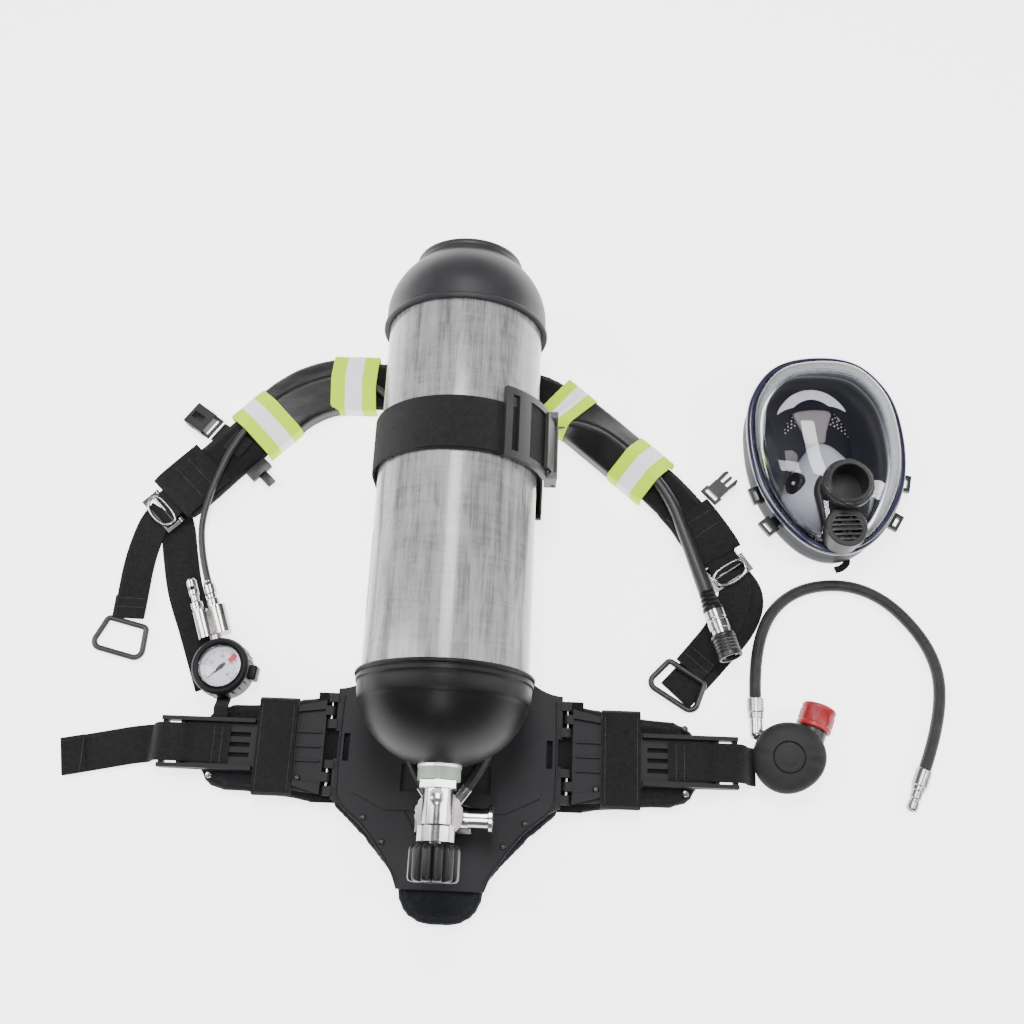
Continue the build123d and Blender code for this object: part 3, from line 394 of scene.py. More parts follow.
def bend(a, b, c, n, ends=1):
    """Points from a to c along a curve that b pulls to itself, with the last one if ends is 1."""
    return [(1 - t) ** 2 * a + 2 * t * (1 - t) * b + t * t * c for t in (k / n for k in range(n + ends))]


def around(n):
    """Angles of n equal steps round a circle."""
    return [math.radians(360 / n * k) for k in range(n)]


def smooth_line(points, n=8):
    """Catmull-Rom points through the given ones."""
    p = [Vector(q) for q in points]
    p = [2 * p[0] - p[1]] + p + [2 * p[-1] - p[-2]]
    out = []
    for a, b, c, d in zip(p, p[1:], p[2:], p[3:]):
        out += [spline_point(a, b, c, d, k / n) for k in range(n)]
    return out + [p[-2]]


def tangent(line, i):
    """The direction of a line of points at one of them."""
    return (line[min(i + 1, len(line) - 1)] - line[max(i - 1, 0)]).normalized()


def sweep(name, line, section, mat, body, **more):
    """A section (list of (side, height)) carried along a line of points, with UVs in metres."""
    rows, uvs, run = [], [], 0.0
    rim = [0.0]
    loop = section + section[:1]
    for a, b in zip(loop, loop[1:]):
        rim.append(rim[-1] + math.dist(a, b))
    for i, p in enumerate(line):
        t = tangent(line, i)
        side = t.cross(Z).normalized()
        high = side.cross(t)
        if i:
            run += (p - line[i - 1]).length
        rows.append([tuple(p + side * s + high * h) for s, h in section])
        uvs += [(r * 0.001, run * 0.001) for r in rim[:-1]]
    v, f = grid(rows, True, False, True)
    return piece(name, v, f, mat, body, uvs=uvs, **more)


def web_section(width, thick, n=10):
    """A webbing's section: thin, with rounded edges."""
    h = thick / 2
    half = [(width / 2 - h + h * math.cos(a), h * math.sin(a))
            for a in [math.radians(90 - 30 * k) for k in range(7)]]
    top = [(-width / 2 + h + (width - 2 * h) * k / n, h) for k in range(1, n)]
    bottom = [(width / 2 - h - (width - 2 * h) * k / n, -h) for k in range(1, n)]
    other = [(-x, -y) for x, y in half]
    return half + bottom + other + top


def strap(name, points, width, thick, mat, body, n=8, **more):
    return sweep(name, smooth_line(points, n), web_section(width, thick), mat, body, **more)


STITCH_PITCH, STITCH_SIZE = 3.2, 0.28


def stitches(name, points, body, slot):
    """A row of thread stitches along a line."""
    line = smooth_line(points, 10)
    verts, faces = [], []
    spare = 0.0
    for a, b in zip(line, line[1:]):
        d = (b - a).length
        while spare < d:
            p, t = a.lerp(b, spare / d), (b - a).normalized()
            side = t.cross(Z).normalized() * STITCH_SIZE
            base = len(verts)
            for s, h in ((-0.95, -0.1), (-0.5, 1), (0.5, 1), (0.95, -0.1)):
                c = p + t * s * STITCH_PITCH * 0.42 + Z * (h * STITCH_SIZE)
                verts += [tuple(c - side), tuple(c + side), tuple(c + Z * STITCH_SIZE * 0.7)]
            for k in range(3):
                q = base + 3 * k
                faces += [(q, q + 3, q + 5, q + 2), (q + 1, q + 2, q + 5, q + 4), (q, q + 1, q + 4, q + 3)]
            spare += STITCH_PITCH
        spare -= d
    return piece(name, verts, faces, THREAD, body, slot=slot)


THREAD = woven("mat_thread", (0.03, 0.03, 0.033), (0.09, 0.09, 0.095), (0.0006, 0.0006, 0), False, 0.0001)


def curve(name, points, radius, mat, body=None, cyclic=False, gone=()):
    """A round wire or hose along a NURBS spline whose control points are given in millimetres."""
    data = bpy.data.curves.new(name, "CURVE")
    data.dimensions = "3D"
    data.bevel_depth, data.bevel_resolution, data.resolution_u = radius * 0.001, 8, 12
    data.use_fill_caps = True
    s = data.splines.new("NURBS")
    s.points.add(len(points) - 1)
    for p, q in zip(s.points, points):
        p.co = (*[c * 0.001 for c in q], 1)
    s.order_u = 3
    s.use_endpoint_u = not cyclic
    s.use_cyclic_u = cyclic
    data.materials.append(mat)
    o = bpy.data.objects.new(name, data)
    bpy.context.collection.objects.link(o)
    if body:
        tell(o, body, gone)
    return o


def cut(o, *cutters):
    """Takes other solids out of a piece."""
    for c in cutters:
        mod = o.modifiers.new("cut", "BOOLEAN")
        mod.operation, mod.solver, mod.object = "DIFFERENCE", "EXACT", c
    settle(o)
    for c in cutters:
        bpy.data.objects.remove(c)
    return finish_mesh(o)


def join(name, parts):
    """Makes one object of several that share a body."""
    bpy.ops.object.select_all(action="DESELECT")
    for o in parts:
        o.select_set(True)
    bpy.context.view_layer.objects.active = parts[0]
    bpy.ops.object.join()
    parts[0].name = name
    return parts[0]


def dress(node, mat):
    """Gives a kept CAD node a better material."""
    o = frame["nodes"][node]
    if not o.material_slots:
        o.data.materials.append(mat)
    for s in o.material_slots:
        s.material = mat


# ---- camera, lights and floor --------------------------------------------------------------
VIEW_ANGLES = 69.89, 3.85, -1.64        # height over the floor, turn about z and roll, in degrees
VIEW_TARGET, VIEW_DISTANCE, VIEW_LENS = (0.0525, 0.2612, 0), 1.2285, 40.0
WORLD_LIGHT, FLOOR_HALF, FLOOR_Z, FLOOR_GLOW = 0.28, 40, -0.0004, 2.8
LAMPS = (       # name, place, target, width, power, length
    ("top_light", (0.05, 0.75, 1.9), (0.05, 0.25, 0), 0.5, 34, 1.0),
    ("left_light", (-1.5, 0.3, 1.25), (0, 0.22, 0), 0.3, 30, 2.0),
    ("right_light", (1.6, 0.2, 1.15), (0.1, 0.22, 0), 0.3, 26, 2.0),
    ("front_light", (0.0, -1.0, 1.9), (0, 0.1, 0), 0.25, 18, 1.0),
)


def camera():
    el, az, roll = (math.radians(v) for v in VIEW_ANGLES)
    back = Vector((math.sin(az) * math.cos(el), -math.cos(az) * math.cos(el), math.sin(el)))
    right = Vector((math.cos(az), math.sin(az), 0))
    up = right.cross(-back)
    r = right * math.cos(roll) + up * math.sin(roll)
    u = up * math.cos(roll) - right * math.sin(roll)
    cam = bpy.data.objects.new("camera", bpy.data.cameras.new("camera"))
    bpy.context.collection.objects.link(cam)
    cam.data.lens, cam.data.sensor_width = VIEW_LENS, 36.0
    cam.data.clip_start, cam.data.clip_end = 0.01, 20
    turn = Matrix((r, u, back)).transposed().to_4x4()
    cam.matrix_world = Matrix.Translation(Vector(VIEW_TARGET) + back * VIEW_DISTANCE) @ turn
    bpy.context.scene.camera = cam


def area(name, at, target, width, power, length):
    light = bpy.data.lights.new(name, "AREA")
    light.shape, light.size, light.size_y = "RECTANGLE", width, length
    light.energy = power
    o = bpy.data.objects.new(name, light)
    bpy.context.collection.objects.link(o)
    o.location = at
    o.rotation_mode = "QUATERNION"
    o.rotation_quaternion = (Vector(target) - Vector(at)).to_track_quat("-Z", "Y")


def studio():
    world = bpy.data.worlds.new("studio")
    bpy.context.scene.world = world
    world.use_nodes = True
    sky = world.node_tree.nodes["Background"].inputs
    sky["Color"].default_value = (1, 1, 1, 1)
    sky["Strength"].default_value = WORLD_LIGHT
    for lamp in LAMPS:
        area(*lamp)
    mesh = bpy.data.meshes.new("floor")
    corners = [(x * FLOOR_HALF, y * FLOOR_HALF, FLOOR_Z) for x, y in ((-1, -1), (1, -1), (1, 1), (-1, 1))]
    mesh.from_pydata(corners, [], [(0, 1, 2, 3)])
    floor = bpy.data.objects.new("floor", mesh)
    bpy.context.collection.objects.link(floor)
    m = Mat("mat_floor", (0.93, 0.93, 0.93), 0.7, emission_strength=FLOOR_GLOW)
    m.put("Emission Color", (1, 1, 1, 1))
    m.color(m.noise(3), [(0.3, (0.92, 0.92, 0.92)), (0.7, (0.94, 0.94, 0.94))])
    mesh.materials.append(m.mat)


camera()
studio()


# ---- the three hoses -----------------------------------------------------------------------
SUPPLY = (
    (22, -36, 36), (45.5, -3.5, 36), (51, 70, 32), (47, 166, 32), (51, 250, 32), (53, 334, 32),
    (127, 366, 27), (214, 293, 26), (243.4, 210, 24), (256, 170, 29),
)
GAUGE = (
    (-22, -36, 36), (-45.5, -3.5, 36), (-51, 66, 30), (-47, 165, 30), (-51, 262, 30), (-53, 346, 30),
    (-118, 410, 25), (-190, 392, 24.2), (-246, 336, 24), (-272, 262, 22), (-276, 208, 20),
    (-259.7, 165.1, 20),
)
DEMAND = (
    (305, 66, 14), (305, 130, 14), (350, 187, 7), (430, 191, 6.5), (490, 128, 6.5), (494, 60, 9), (470, 2, 9),
)


def ribbed_hose_mat():
    m = Mat("mat_braided_hose", (0.008, 0.008, 0.009), 0.5, specular_ior_level=0.3)
    w = m.waves((0.0022, 0.0022, 0), False, 45)
    m.color(m.noise(60), [(0.3, (0.007, 0.007, 0.008)), (0.8, (0.020, 0.020, 0.022))])
    return m.bump(w, 0.0002, 0.5).bump(m.noise(500), 0.0001, 0.5).mat


BRAID = ribbed_hose_mat()
supply = curve("supply_hose_line", SUPPLY, 5.5, HOSE, "pack", gone=("supply_hose",))
gauge_line = curve("gauge_hose_line", GAUGE, 3.5, HOSE, "pack", gone=("gauge_hose",))
demand = curve("demand_hose_line", DEMAND, 6.0, BRAID, "demand_line", gone=("dv_hose",))


# ---- pads: crowned forms that a short cloth simulation swells and wrinkles -----------------
def corner_round(points, radius, n=6):
    """A closed outline with rounded corners."""
    out = []
    p = [Vector(q) for q in points]
    for a, b, c in zip([p[-1]] + p[:-1], p, p[1:] + [p[0]]):
        r = min(radius, 0.45 * (b - a).length, 0.45 * (c - b).length)
        s, e = b + (a - b).normalized() * r, b + (c - b).normalized() * r
        out += [tuple(q) for q in bend(s, b, e, n)]
    return out


def resampled(points, step, closed=True):
    """Points at equal steps along an outline, or along an open line up to its last point."""
    out, spare = [], 0.0
    for a, b in zip(points, points[1:] + points[:1] if closed else points[1:]):
        d = math.dist(a, b)
        while spare < d:
            t = spare / d
            out.append((a[0] + (b[0] - a[0]) * t, a[1] + (b[1] - a[1]) * t))
            spare += step
        spare -= d
    return out if closed else out + [points[-1]]


def inset(p, poly):
    """How far a point lies inside an outline; below zero outside it."""
    best, inside = 1e9, False
    for (ax, ay), (bx, by) in zip(poly, poly[1:] + poly[:1]):
        dx, dy = bx - ax, by - ay
        t = max(0.0, min(1.0, ((p[0] - ax) * dx + (p[1] - ay) * dy) / (dx * dx + dy * dy + 1e-9)))
        best = min(best, math.hypot(p[0] - ax - dx * t, p[1] - ay - dy * t))
        if (ay > p[1]) != (by > p[1]) and p[0] < ax + (p[1] - ay) / (by - ay) * dx:
            inside = not inside
    return best if inside else -best


def hash_noise(x, y, z=0.0):
    return noise.noise(Vector((x, y, z)))


HINGE_X, HINGE_Z = 117.0, 22.0      # the wings' hinge axis
HINGE_GAP, HINGE_SLOPE = 4.2, 0.74  # least space beside it, and how that grows downwards


PAD_ROLL, PAD_STEP, PAD_GROOVE = 9.0, 4.5, 1.3      # width of the rounded edge, spacing of points, seam depth


def pad(name, outline, z, mat, body, gone, seam=8.0, hinge=0, seed=0.0, cap=2.2):
    """A stuffed pad over an outline: crowned, swollen by cloth pressure, then grooved along its seam.

    hinge is 1 or -1 where the pad is the outer or the inner side of a wing's hinge, and keeps out of it.
    """
    step = PAD_STEP
    outline = resampled(outline, step)
    n = len(outline)
    xs, ys = [p[0] for p in outline], [p[1] for p in outline]
    spots = list(outline)
    rows = int((max(ys) - min(ys)) / (step * 0.87)) + 1
    for i in range(rows):
        y = min(ys) + i * step * 0.87
        for j in range(int((max(xs) - min(xs)) / step) + 2):
            p = (min(xs) + (j + 0.5 * (i % 2)) * step, y)
            if inset(p, outline) > 0.6 * step:
                spots.append(p)
    found = delaunay_2d_cdt([Vector(p) for p in spots], [], [list(range(n))], 1, 1e-4)
    flat, tris = [tuple(v) for v in found[0]], found[2]
    mid, half = (z[0] + z[1]) / 2, (z[1] - z[0]) / 2 - 0.6
    depth = [max(0.0, inset(p, outline)) if k >= n else 0.0 for k, p in enumerate(flat)]
    rise = [math.sqrt(max(0.0, 1 - (1 - min(d / PAD_ROLL, 1)) ** 2)) for d in depth]
    top = [(p[0], p[1], mid + half * r) for p, r in zip(flat, rise)]
    low = [(p[0], p[1], mid - half * r) for p, r in zip(flat, rise)]
    same = [r < 1e-6 for r in rise]
    index, verts = [], list(top)
    for k, q in enumerate(low):
        index.append(k if same[k] else len(verts))
        if not same[k]:
            verts.append(q)
    faces = [tuple(t) for t in tris] + [tuple(index[k] for k in reversed(t)) for t in tris]
    o = piece(name, verts, faces, mat, None)
    remesh = o.modifiers.new("even", "REMESH")
    remesh.mode, remesh.voxel_size = "VOXEL", 0.005
    settle(o)
    swell(o, cap * 0.001)
    sub = o.modifiers.new("smooth", "SUBSURF")
    sub.levels = sub.render_levels = 1
    settle(o)
    for v in o.data.vertices:
        x, y, h = (c * 1000 for c in v.co)
        d = inset((x, y), outline)
        upper = max(0.0, min(1.0, (h - mid) / half))
        dent = PAD_GROOVE * math.exp(-((d - seam) / 1.8) ** 2)
        wave = 0.7 * hash_noise(x * 0.035, y * 0.035, seed) + 0.4 * hash_noise(x * 0.09, y * 0.09, seed + 3)
        h -= upper * (dent + max(0.0, wave))
        h = max(z[0] + 0.25, min(z[1] - 0.1, h))
        if hinge:
            gap = max(HINGE_GAP, HINGE_SLOPE * (HINGE_Z - h))
            reach = max(abs(x), HINGE_X + gap) if hinge > 0 else min(abs(x), HINGE_X - gap)
            x = math.copysign(reach, x)
        v.co = (x * 0.001, y * 0.001, h * 0.001)
    finish_mesh(o, 180)
    o.data.materials.clear()
    o.data.materials.append(mat)
    tell(o, body, gone)


CLOTH_FRAMES, CLOTH_PRESSURE = 20, 4.0


def swell(o, cap):
    """Inflates a closed mesh as cloth, and holds every point within cap of where it was."""
    scene = bpy.context.scene
    rest = [v.co.copy() for v in o.data.vertices]
    cloth = o.modifiers.new("cloth", "CLOTH")
    s = cloth.settings
    s.quality, s.mass = 5, 0.3
    s.use_pressure, s.uniform_pressure_force = True, CLOTH_PRESSURE
    s.tension_stiffness = s.compression_stiffness = 12
    s.bending_stiffness = 0.6
    s.effector_weights.gravity = 0.0
    cloth.point_cache.frame_start, cloth.point_cache.frame_end = 1, CLOTH_FRAMES
    for f in range(1, CLOTH_FRAMES + 1):
        scene.frame_set(f)
    dg = bpy.context.evaluated_depsgraph_get()
    moved = [v.co.copy() for v in o.evaluated_get(dg).data.vertices]
    o.modifiers.remove(cloth)
    scene.frame_set(1)
    for v, a, b in zip(o.data.vertices, rest, moved):
        d = b - a
        v.co = a + (d if d.length <= cap else d.normalized() * cap)


def band_outline(line, width, radius):
    """The outline of a strap of constant width along a bent line whose bends are rounded; its ends are cut
    square.
    """
    middle = smooth_corner(line, radius)
    left, right = [], []
    for i, p in enumerate(middle):
        a, b = middle[max(i - 1, 0)], middle[min(i + 1, len(middle) - 1)]
        t = (Vector(b) - Vector(a)).normalized()
        side = Vector((-t.y, t.x)) * (width / 2)
        left.append(tuple(Vector(p) + side))
        right.append(tuple(Vector(p) - side))
    return left + right[::-1]


def smooth_corner(line, radius, n=10):
    p = [Vector(q) for q in line]
    out = [tuple(p[0])]
    for a, b, c in zip(p, p[1:], p[2:]):
        s, e = b + (a - b).normalized() * radius, b + (c - b).normalized() * radius
        out += [tuple(q) for q in bend(s, b, e, n)]
    return out + [tuple(p[-1])]


def mirrored(points, side):
    return [(x * side, *rest) for x, *rest in points]


# ---- cylinder, boot and cap ----------------------------------------------------------------
CYL_Z = 112.0
AXIS = {"at": (0, 0, CYL_Z), "along": (0, 1, 0)}


def ellipse_run(r0, r1, centre, half, sign, n=14):
    """Points of a dome from radius r0 to r1, on the side of its centre that sign says."""
    a0, a1 = math.acos(min(1, r0 / half[0])), math.acos(min(1, r1 / half[0]))
    return [(half[0] * math.cos(a), centre + sign * half[1] * math.sin(a))
            for a in (a0 + (a1 - a0) * k / n for k in range(n + 1))]


def cylinder():
    outer = ellipse_run(20, 78, 38, (78, 60), -1) + ellipse_run(78, 8, 420, (78, 54), 1)
    inner = ellipse_run(6, 73, 420, (73, 49), 1) + ellipse_run(73, 19, 38, (73, 55), -1)
    lathe("composite_cylinder", outer + inner, COMPOSITE, "pack", seg=160, slot="composite_wrap",
          gone=("cylinder_shell",), **AXIS)
    dress("cylinder_liner", ALU)
    rim = [(81, 44.4), (81.4, 45.6), (82.2, 46.6), (82.2, 50), (81.6, 50.7), (81.6, 51.3), (83, 52),
           (83.5, 52.8),
           (83.5, 54.4), (83, 55.2), (82, 55.5)]
    inside = [(78.4, 55.4), (78.3, 38)] + [(max(22.0, r), y) for r,
                                           y in ellipse_run(78, 22, 38, (78, 60), -1)][1:-1]
    dome = ellipse_run(22, 81, 44, (81, 72), -1, 34)
    outside = [(r - 0.6, y) for r, y in dome if y < 27] + [(78.3, 27.8), (78.9, 28.4)] + [(r, y) for r,
            y in dome if y > 29][:-1]
    lathe("rubber_boot", inside + outside + rim, RUBBER, "pack", seg=160, slot="black_rubber",
          gone=("cylinder_boot",), **AXIS)
    brow = [(78.35, 410.6), (80.4, 409.9), (83, 410.1), (84, 411.3), (84, 413.4), (83, 414.6), (82.1, 415.8),
            (82, 420)]
    crown = ellipse_run(82, 57.2, 427, (82, 76), 1, 20)
    knob = [(56, 483), (55, 484.4), (55, 488), (54.7, 488.6), (54.7, 489.3), (55, 489.9), (55, 492.4),
            (54, 494.4), (52.2, 495.6), (49.6, 496)]
    face = [(45.6, 495.8), (44.6, 494.8), (40, 494.8), (39, 495.7), (9, 495.8), (8.4, 494.6)]
    under = [(8.4, 476)] + [(max(r, 8.4), y + 0.4) for r, y in ellipse_run(12, 78, 420, (78, 54),
            1)][:-1] + [(78.35, 418)]
    lathe("rubber_cap", brow + crown + knob + face + under, CAPRUB, "pack", seg=160, slot="grey_rubber",
          gone=("cylinder_cap",), **AXIS)
    patch("side_label", 78.12, (163, 206), (107, 187), LABEL)
    patch("side_label_mark", 78.3, (172, 190), (118, 136), REDINK)


def patch(name, radius, angles, y, mat):
    """A thin label on the cylinder's side."""
    rows = []
    n, thick = 24, 0.16
    for k in range(n + 1):
        a = math.radians(angles[0] + (angles[1] - angles[0]) * k / n)
        c, s = math.cos(a), math.sin(a)
        rows.append([((radius + t) * c, v, CYL_Z + (radius + t) * s) for t,
                     v in ((0, y[0]), (0, y[1]), (thick, y[1]), (thick, y[0]))])
    v, f = grid(rows, True, False, True)
    return piece(name, v, f, mat, "pack", slot="composite_wrap")


STRAP_Y, STRAP_Z, STRAP_R = 278.5, 109, 83.2      # middle and radius of the strap over the cylinder


def band():
    """The cylinder strap: webbing over the cylinder and down its sides, with a buckle and a lever."""
    heights = (22, 40, 62, 84, 100)
    path = [Vector((-STRAP_R, STRAP_Y, z)) for z in heights]
    path += [Vector((STRAP_R * math.cos(a), STRAP_Y, STRAP_Z + STRAP_R * math.sin(a)))
             for a in (math.radians(180 - 5 * k) for k in range(37))]
    path += [Vector((STRAP_R, STRAP_Y, z)) for z in reversed(heights)]
    section = web_section(55, 2.2, 16)
    rows, uvs, run = [], [], 0.0
    for i, p in enumerate(path):
        out = Vector((0, 1, 0)).cross(tangent(path, i)).normalized()
        if i:
            run += (p - path[i - 1]).length
        rows.append([tuple(p + Vector((0, s, 0)) + out * h) for s, h in section])
        uvs += [(s * 0.001, run * 0.001) for s, _ in section]
    v, f = grid(rows, True, False, True)
    piece("cylinder_strap", v, f, WEBBING, "pack", uvs=uvs, slot="webbing", gone=("cylinder_band",))
    end = [(84.8 * math.cos(math.radians(a)), STRAP_Z + 84.8 * math.sin(math.radians(a)))
           for a in range(62, 118, 4)]
    v, f = grid([[(x, y, z) for y in (253, 304)] + [(x * 1.02, y, STRAP_Z + (z - STRAP_Z) * 1.02)
                                                    for y in (304, 253)] for x, z in end], True, False, True)
    piece("strap_end", v, f, WEBBING, "pack", uvs=[(p[1] * 0.001, p[0] * 0.001) for p in v], slot="webbing")
    rows = []
    for k in range(15):
        a = math.radians(12 + 2.0 * k)
        rows.append([(r * math.cos(a), y, STRAP_Z + r * math.sin(a)) for r,
                     y in ((86.2, 253), (87.8, 253), (87.8, 317.5), (86.2, 317.5))])
    v, f = grid(rows, True, False, True)
    piece("strap_fold", v, f, WEBBING, "pack", uvs=[(p[1] * 0.001, p[2] * 0.001) for p in v], slot="webbing")
    dress("band_buckle", BUCKLE)
    dress("band_lever", BUCKLE)


# ---- valve and reducer ---------------------------------------------------------------------
def valve():
    for node in ("valve_body", "reducer_body"):
        dress(node, CHROME)
    for node in ("valve_spindle", "pins_and_bolts", "reducer_coupling"):
        dress(node, STEEL)
    dress("reducer_piston", BRASS)
    dress("neck_ring", NECK)
    flutes = 12
    rows = []
    shape = [(19.6, -126), (21.6, -125.2), (22.6, -123.6), (22.9, -121), (22.9, -100), (22.4, -97),
             (20.6, -94.6), (17, -94)]
    for k in range(flutes * 10):
        a = 2 * math.pi * k / (flutes * 10)
        dip = max(0.0, math.cos(flutes * a)) ** 1.6
        rim = [(r - 3.4 * dip * (0.55 if j in (0, 7) else 1), y) for j, (r, y) in enumerate(shape)]
        rim += [(5.2, -94.4), (5.2, -118), (11, -118.6), (13, -126)]
        rows.append([(r * math.sin(a), y, CYL_Z + r * math.cos(a)) for r, y in rim])
    v, f = grid(rows, True, True)
    piece("hand_wheel", v, f, WHEEL, "valve_wheel", slot="wheel_rubber", gone=("valve_handwheel",), angle=40)
    lathe("wheel_plug", [(0, -126.2), (0, -119), (10.8, -119), (12.6, -125), (12, -126)], STEEL,
          "valve_wheel", seg=48, closed=False, slot="steel",
          at=(0, 0, CYL_Z), along=(0, 1, 0))
    plug = [(0, 128.6), (3.4, 128.6), (5.2, 128), (6, 126.6), (6.1, 122), (8.2, 121.4), (8.8, 119.6),
            (8.4, 112), (0, 112)]
    lathe("cast_plug", plug, CHROME, "pack", at=(0, -56, 0), seg=56, closed=False, slot="chromed")
    # the ink-black pit is painted shade: it stands for the dark inside of a hole in the chrome body
    lathe("side_hole_painted_shade", [(0, 0), (3.1, 0), (3.3, 0.5), (2.2, 0.9), (1.6, -3), (0, -3)], INK, "pack",
          at=(37, -66, 54.6), seg=32, closed=False, slot="black_rubber")


# ---- back plate ----------------------------------------------------------------------------
def backplate():
    dress("backplate", PLATE)
    for side, word in SIDES:
        edge = [(106, 52), (107, 20), (107, -30), (103, -52), (78, -74), (60, -96), (42, -122)]
        line = [Vector((x * side, y, 24.2)) for x, y in edge]
        sweep(f"plate_rib_{word}", smooth_line(line, 8), web_section(2.4, 1.8, 3), PLATE, "pack",
              slot="plate_plastic")
        inner = [(52, 60), (64, 44), (66, 10), (60, -30), (40, -56), (26, -80)]
        line = [Vector((x * side, y, 24.1)) for x, y in inner]
        sweep(f"plate_inner_rib_{word}", smooth_line(line, 8), web_section(1.8, 1.4, 3), PLATE, "pack",
              slot="plate_plastic")
        for k, (x, y) in enumerate(((71, 76), (78, -66), (58, -88))):
            lathe(f"plate_rivet_{word}_{k}", [(0, 2.2), (1.8, 2), (3, 1.1), (3.3, -0.6), (0, -0.6)], BLACK,
                  "pack",
                  at=(x * side, y, 24), seg=28, closed=False, slot="plate_plastic")


def three_arc(a, b, c):
    """Points of the circle's arc from a through b to c."""
    (ax, ay), (bx, by), (cx, cy) = a, b, c
    n = 10
    d = 2 * (ax * (by - cy) + bx * (cy - ay) + cx * (ay - by))
    ux = ((ax * ax + ay * ay) * (by - cy) + (bx * bx + by * by) * (cy - ay)
          + (cx * cx + cy * cy) * (ay - by)) / d
    uy = ((ax * ax + ay * ay) * (cx - bx) + (bx * bx + by * by) * (ax - cx)
          + (cx * cx + cy * cy) * (bx - ax)) / d
    r = math.hypot(ax - ux, ay - uy)
    start, middle, end = (math.atan2(y - uy, x - ux) for x, y in (a, b, c))
    turn = (end - start) % (2 * math.pi)
    if (middle - start) % (2 * math.pi) > turn:
        turn -= 2 * math.pi
    return [(ux + r * math.cos(start + turn * k / n), uy + r * math.sin(start + turn * k / n))
            for k in range(n + 1)]


def lumbar():
    half = [(114, 62)] + three_arc((114, -56), (76, -90), (44, -128)) + three_arc((44, -128), (36, -151.5),
            (0, -164))[1:-1]
    outline = corner_round(half + [(0, -164)] + [(-x, y) for x, y in reversed(half)], 14)
    pad("lumbar_padding", outline, (0, 18), TONGUE, "pack", ("lumbar_pad",), hinge=-1, seed=1)


def wings():
    for side, word in SIDES:
        body = f"{word}_wing"
        dress(f"waist_wing_{word}", PLATE)
        half = [(121, 55), (165, 48.5), (222, 42.5), (243, 33), (251, 14), (249, -24), (239, -40),
                (222, -46.5), (160, -51.5), (121, -56)]
        pad(f"hip_padding_{word}", corner_round(mirrored(half, side), 12), (0, 18), PADDING, body,
            (f"hip_pad_{word}",),
            hinge=1, seed=2 + side)
        cover(f"wing_cover_{word}", side, body)
        gusset(word, side)
        line = [(216, -1, 22.2), (240, -1, 22.3), (254, -1, 22.6), (262, -1, 26.2), (275, -1, 26.9),
                (286, -1, 26.3), (292, -1, 20), (297, -1, 9), (302, -1, 4.9)]
        tail = [(318, -3.4, 4.7), (340, -8, 4.9), (364, -13, 4.7),
                (387, -17.8, 4.8)] if side < 0 else [(304.5, -1, 4.8)]
        points = mirrored(line + tail, side)
        strap(f"waist_webbing_{word}", points, 37.6, 2.2, WEBBING, body, 6, slot="webbing",
              gone=(f"waist_belt_{word}",))
        for k, x in enumerate((224, 232)):
            stitches(f"belt_stitches_{word}_{k}", mirrored([(x, y, 23.4) for y in (-18, -9, 0, 9, 17)], side),
                     body, slot="webbing")
        for k, (x, y) in enumerate(((233, -31), (233, 31), (146, -31))):
            lathe(f"wing_rivet_{word}_{k}", [(0, 2.3), (2, 2.1), (3.1, 1.2), (3.4, -0.4), (0, -0.4)], CHROME
                  if k == 0 else BLACK, body,
                  at=(x * side, y, 22), seg=28, closed=False, slot="steel" if k == 0 else "plate_plastic")
    strap("belt_fold", mirrored([(364, -13, 6.9), (372, -14.6, 7.2), (387, -17.6, 6.9)], -1), 37.4, 1.8,
          WEBBING, "left_wing", 6, slot="webbing")
    stitches("belt_fold_stitches", [(-366 - 0.2 * k, -31 + 9 * k, 8.1) for k in range(5)], "left_wing",
             slot="webbing")


def two_skins(rows, under):
    """Closes a sheet of points with a second skin below it. under gives that skin's height."""
    top, faces = grid(rows)
    n, count, width = len(top), len(rows), len(rows[0])
    low = [(x, y, under(z)) for x, y, z in top]
    faces += [tuple(n + k for k in reversed(f)) for f in faces]
    last = (count - 1) * width
    rim = [(i * width, (i + 1) * width) for i in range(count - 1)]
    rim += [((i + 1) * width - 1, (i + 2) * width - 1) for i in range(count - 1)]
    rim += [(j, j + 1) for j in range(width - 1)] + [(last + j, last + j + 1) for j in range(width - 1)]
    return top + low, faces + [(a, b, n + b, n + a) for a, b in rim]


def gusset(word, side):
    """Fabric that bridges the hinge beneath the plates."""
    rows = []
    for i in range(15):
        x = 103 + 30 * i / 14
        rows.append([(x * side, -53 + 108 * j / 30, 15.6 + 0.5 * hash_noise(x * 0.1, j * 0.4, side * 2.0))
                     for j in range(31)])
    o = piece(f"hinge_gusset_{word}", *two_skins(rows, lambda z: z - 1.3), PADDING)
    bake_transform(o)


def cover(name, side, body):
    """The fabric band folded over a wing's middle."""
    rows = []
    for i in range(17):
        x = 151 + 38 * i / 16
        row = []
        for j in range(41):
            y = -48.6 + 95.2 * j / 40
            edge = min(1.0, (48.6 - abs(y + 1)) / 4.5)
            z = 17.2 + 10.4 * math.sqrt(max(0.0, 1 - (1 - edge) ** 2)) + 0.5 * hash_noise(x * 0.08, y * 0.06,
                    side * 4.0)
            z -= 0.6 * math.exp(-((min(x - 151, 189 - x) - 3) / 1.2) ** 2)
            row.append((x * side, y, z))
        rows.append(row)
    verts, faces = two_skins(rows, lambda z: 16.6)
    piece(name, verts, faces, WEBBING, body, uvs=[(x * 0.001, y * 0.001) for x, y, _ in verts],
          slot="padding")
    for k, x in enumerate((154.2, 185.8)):
        stitches(f"{name}_stitches_{k}", [(x * side, y, 27.6) for y in (-42, -25, -8, 8, 25, 41)], body,
                 "webbing")


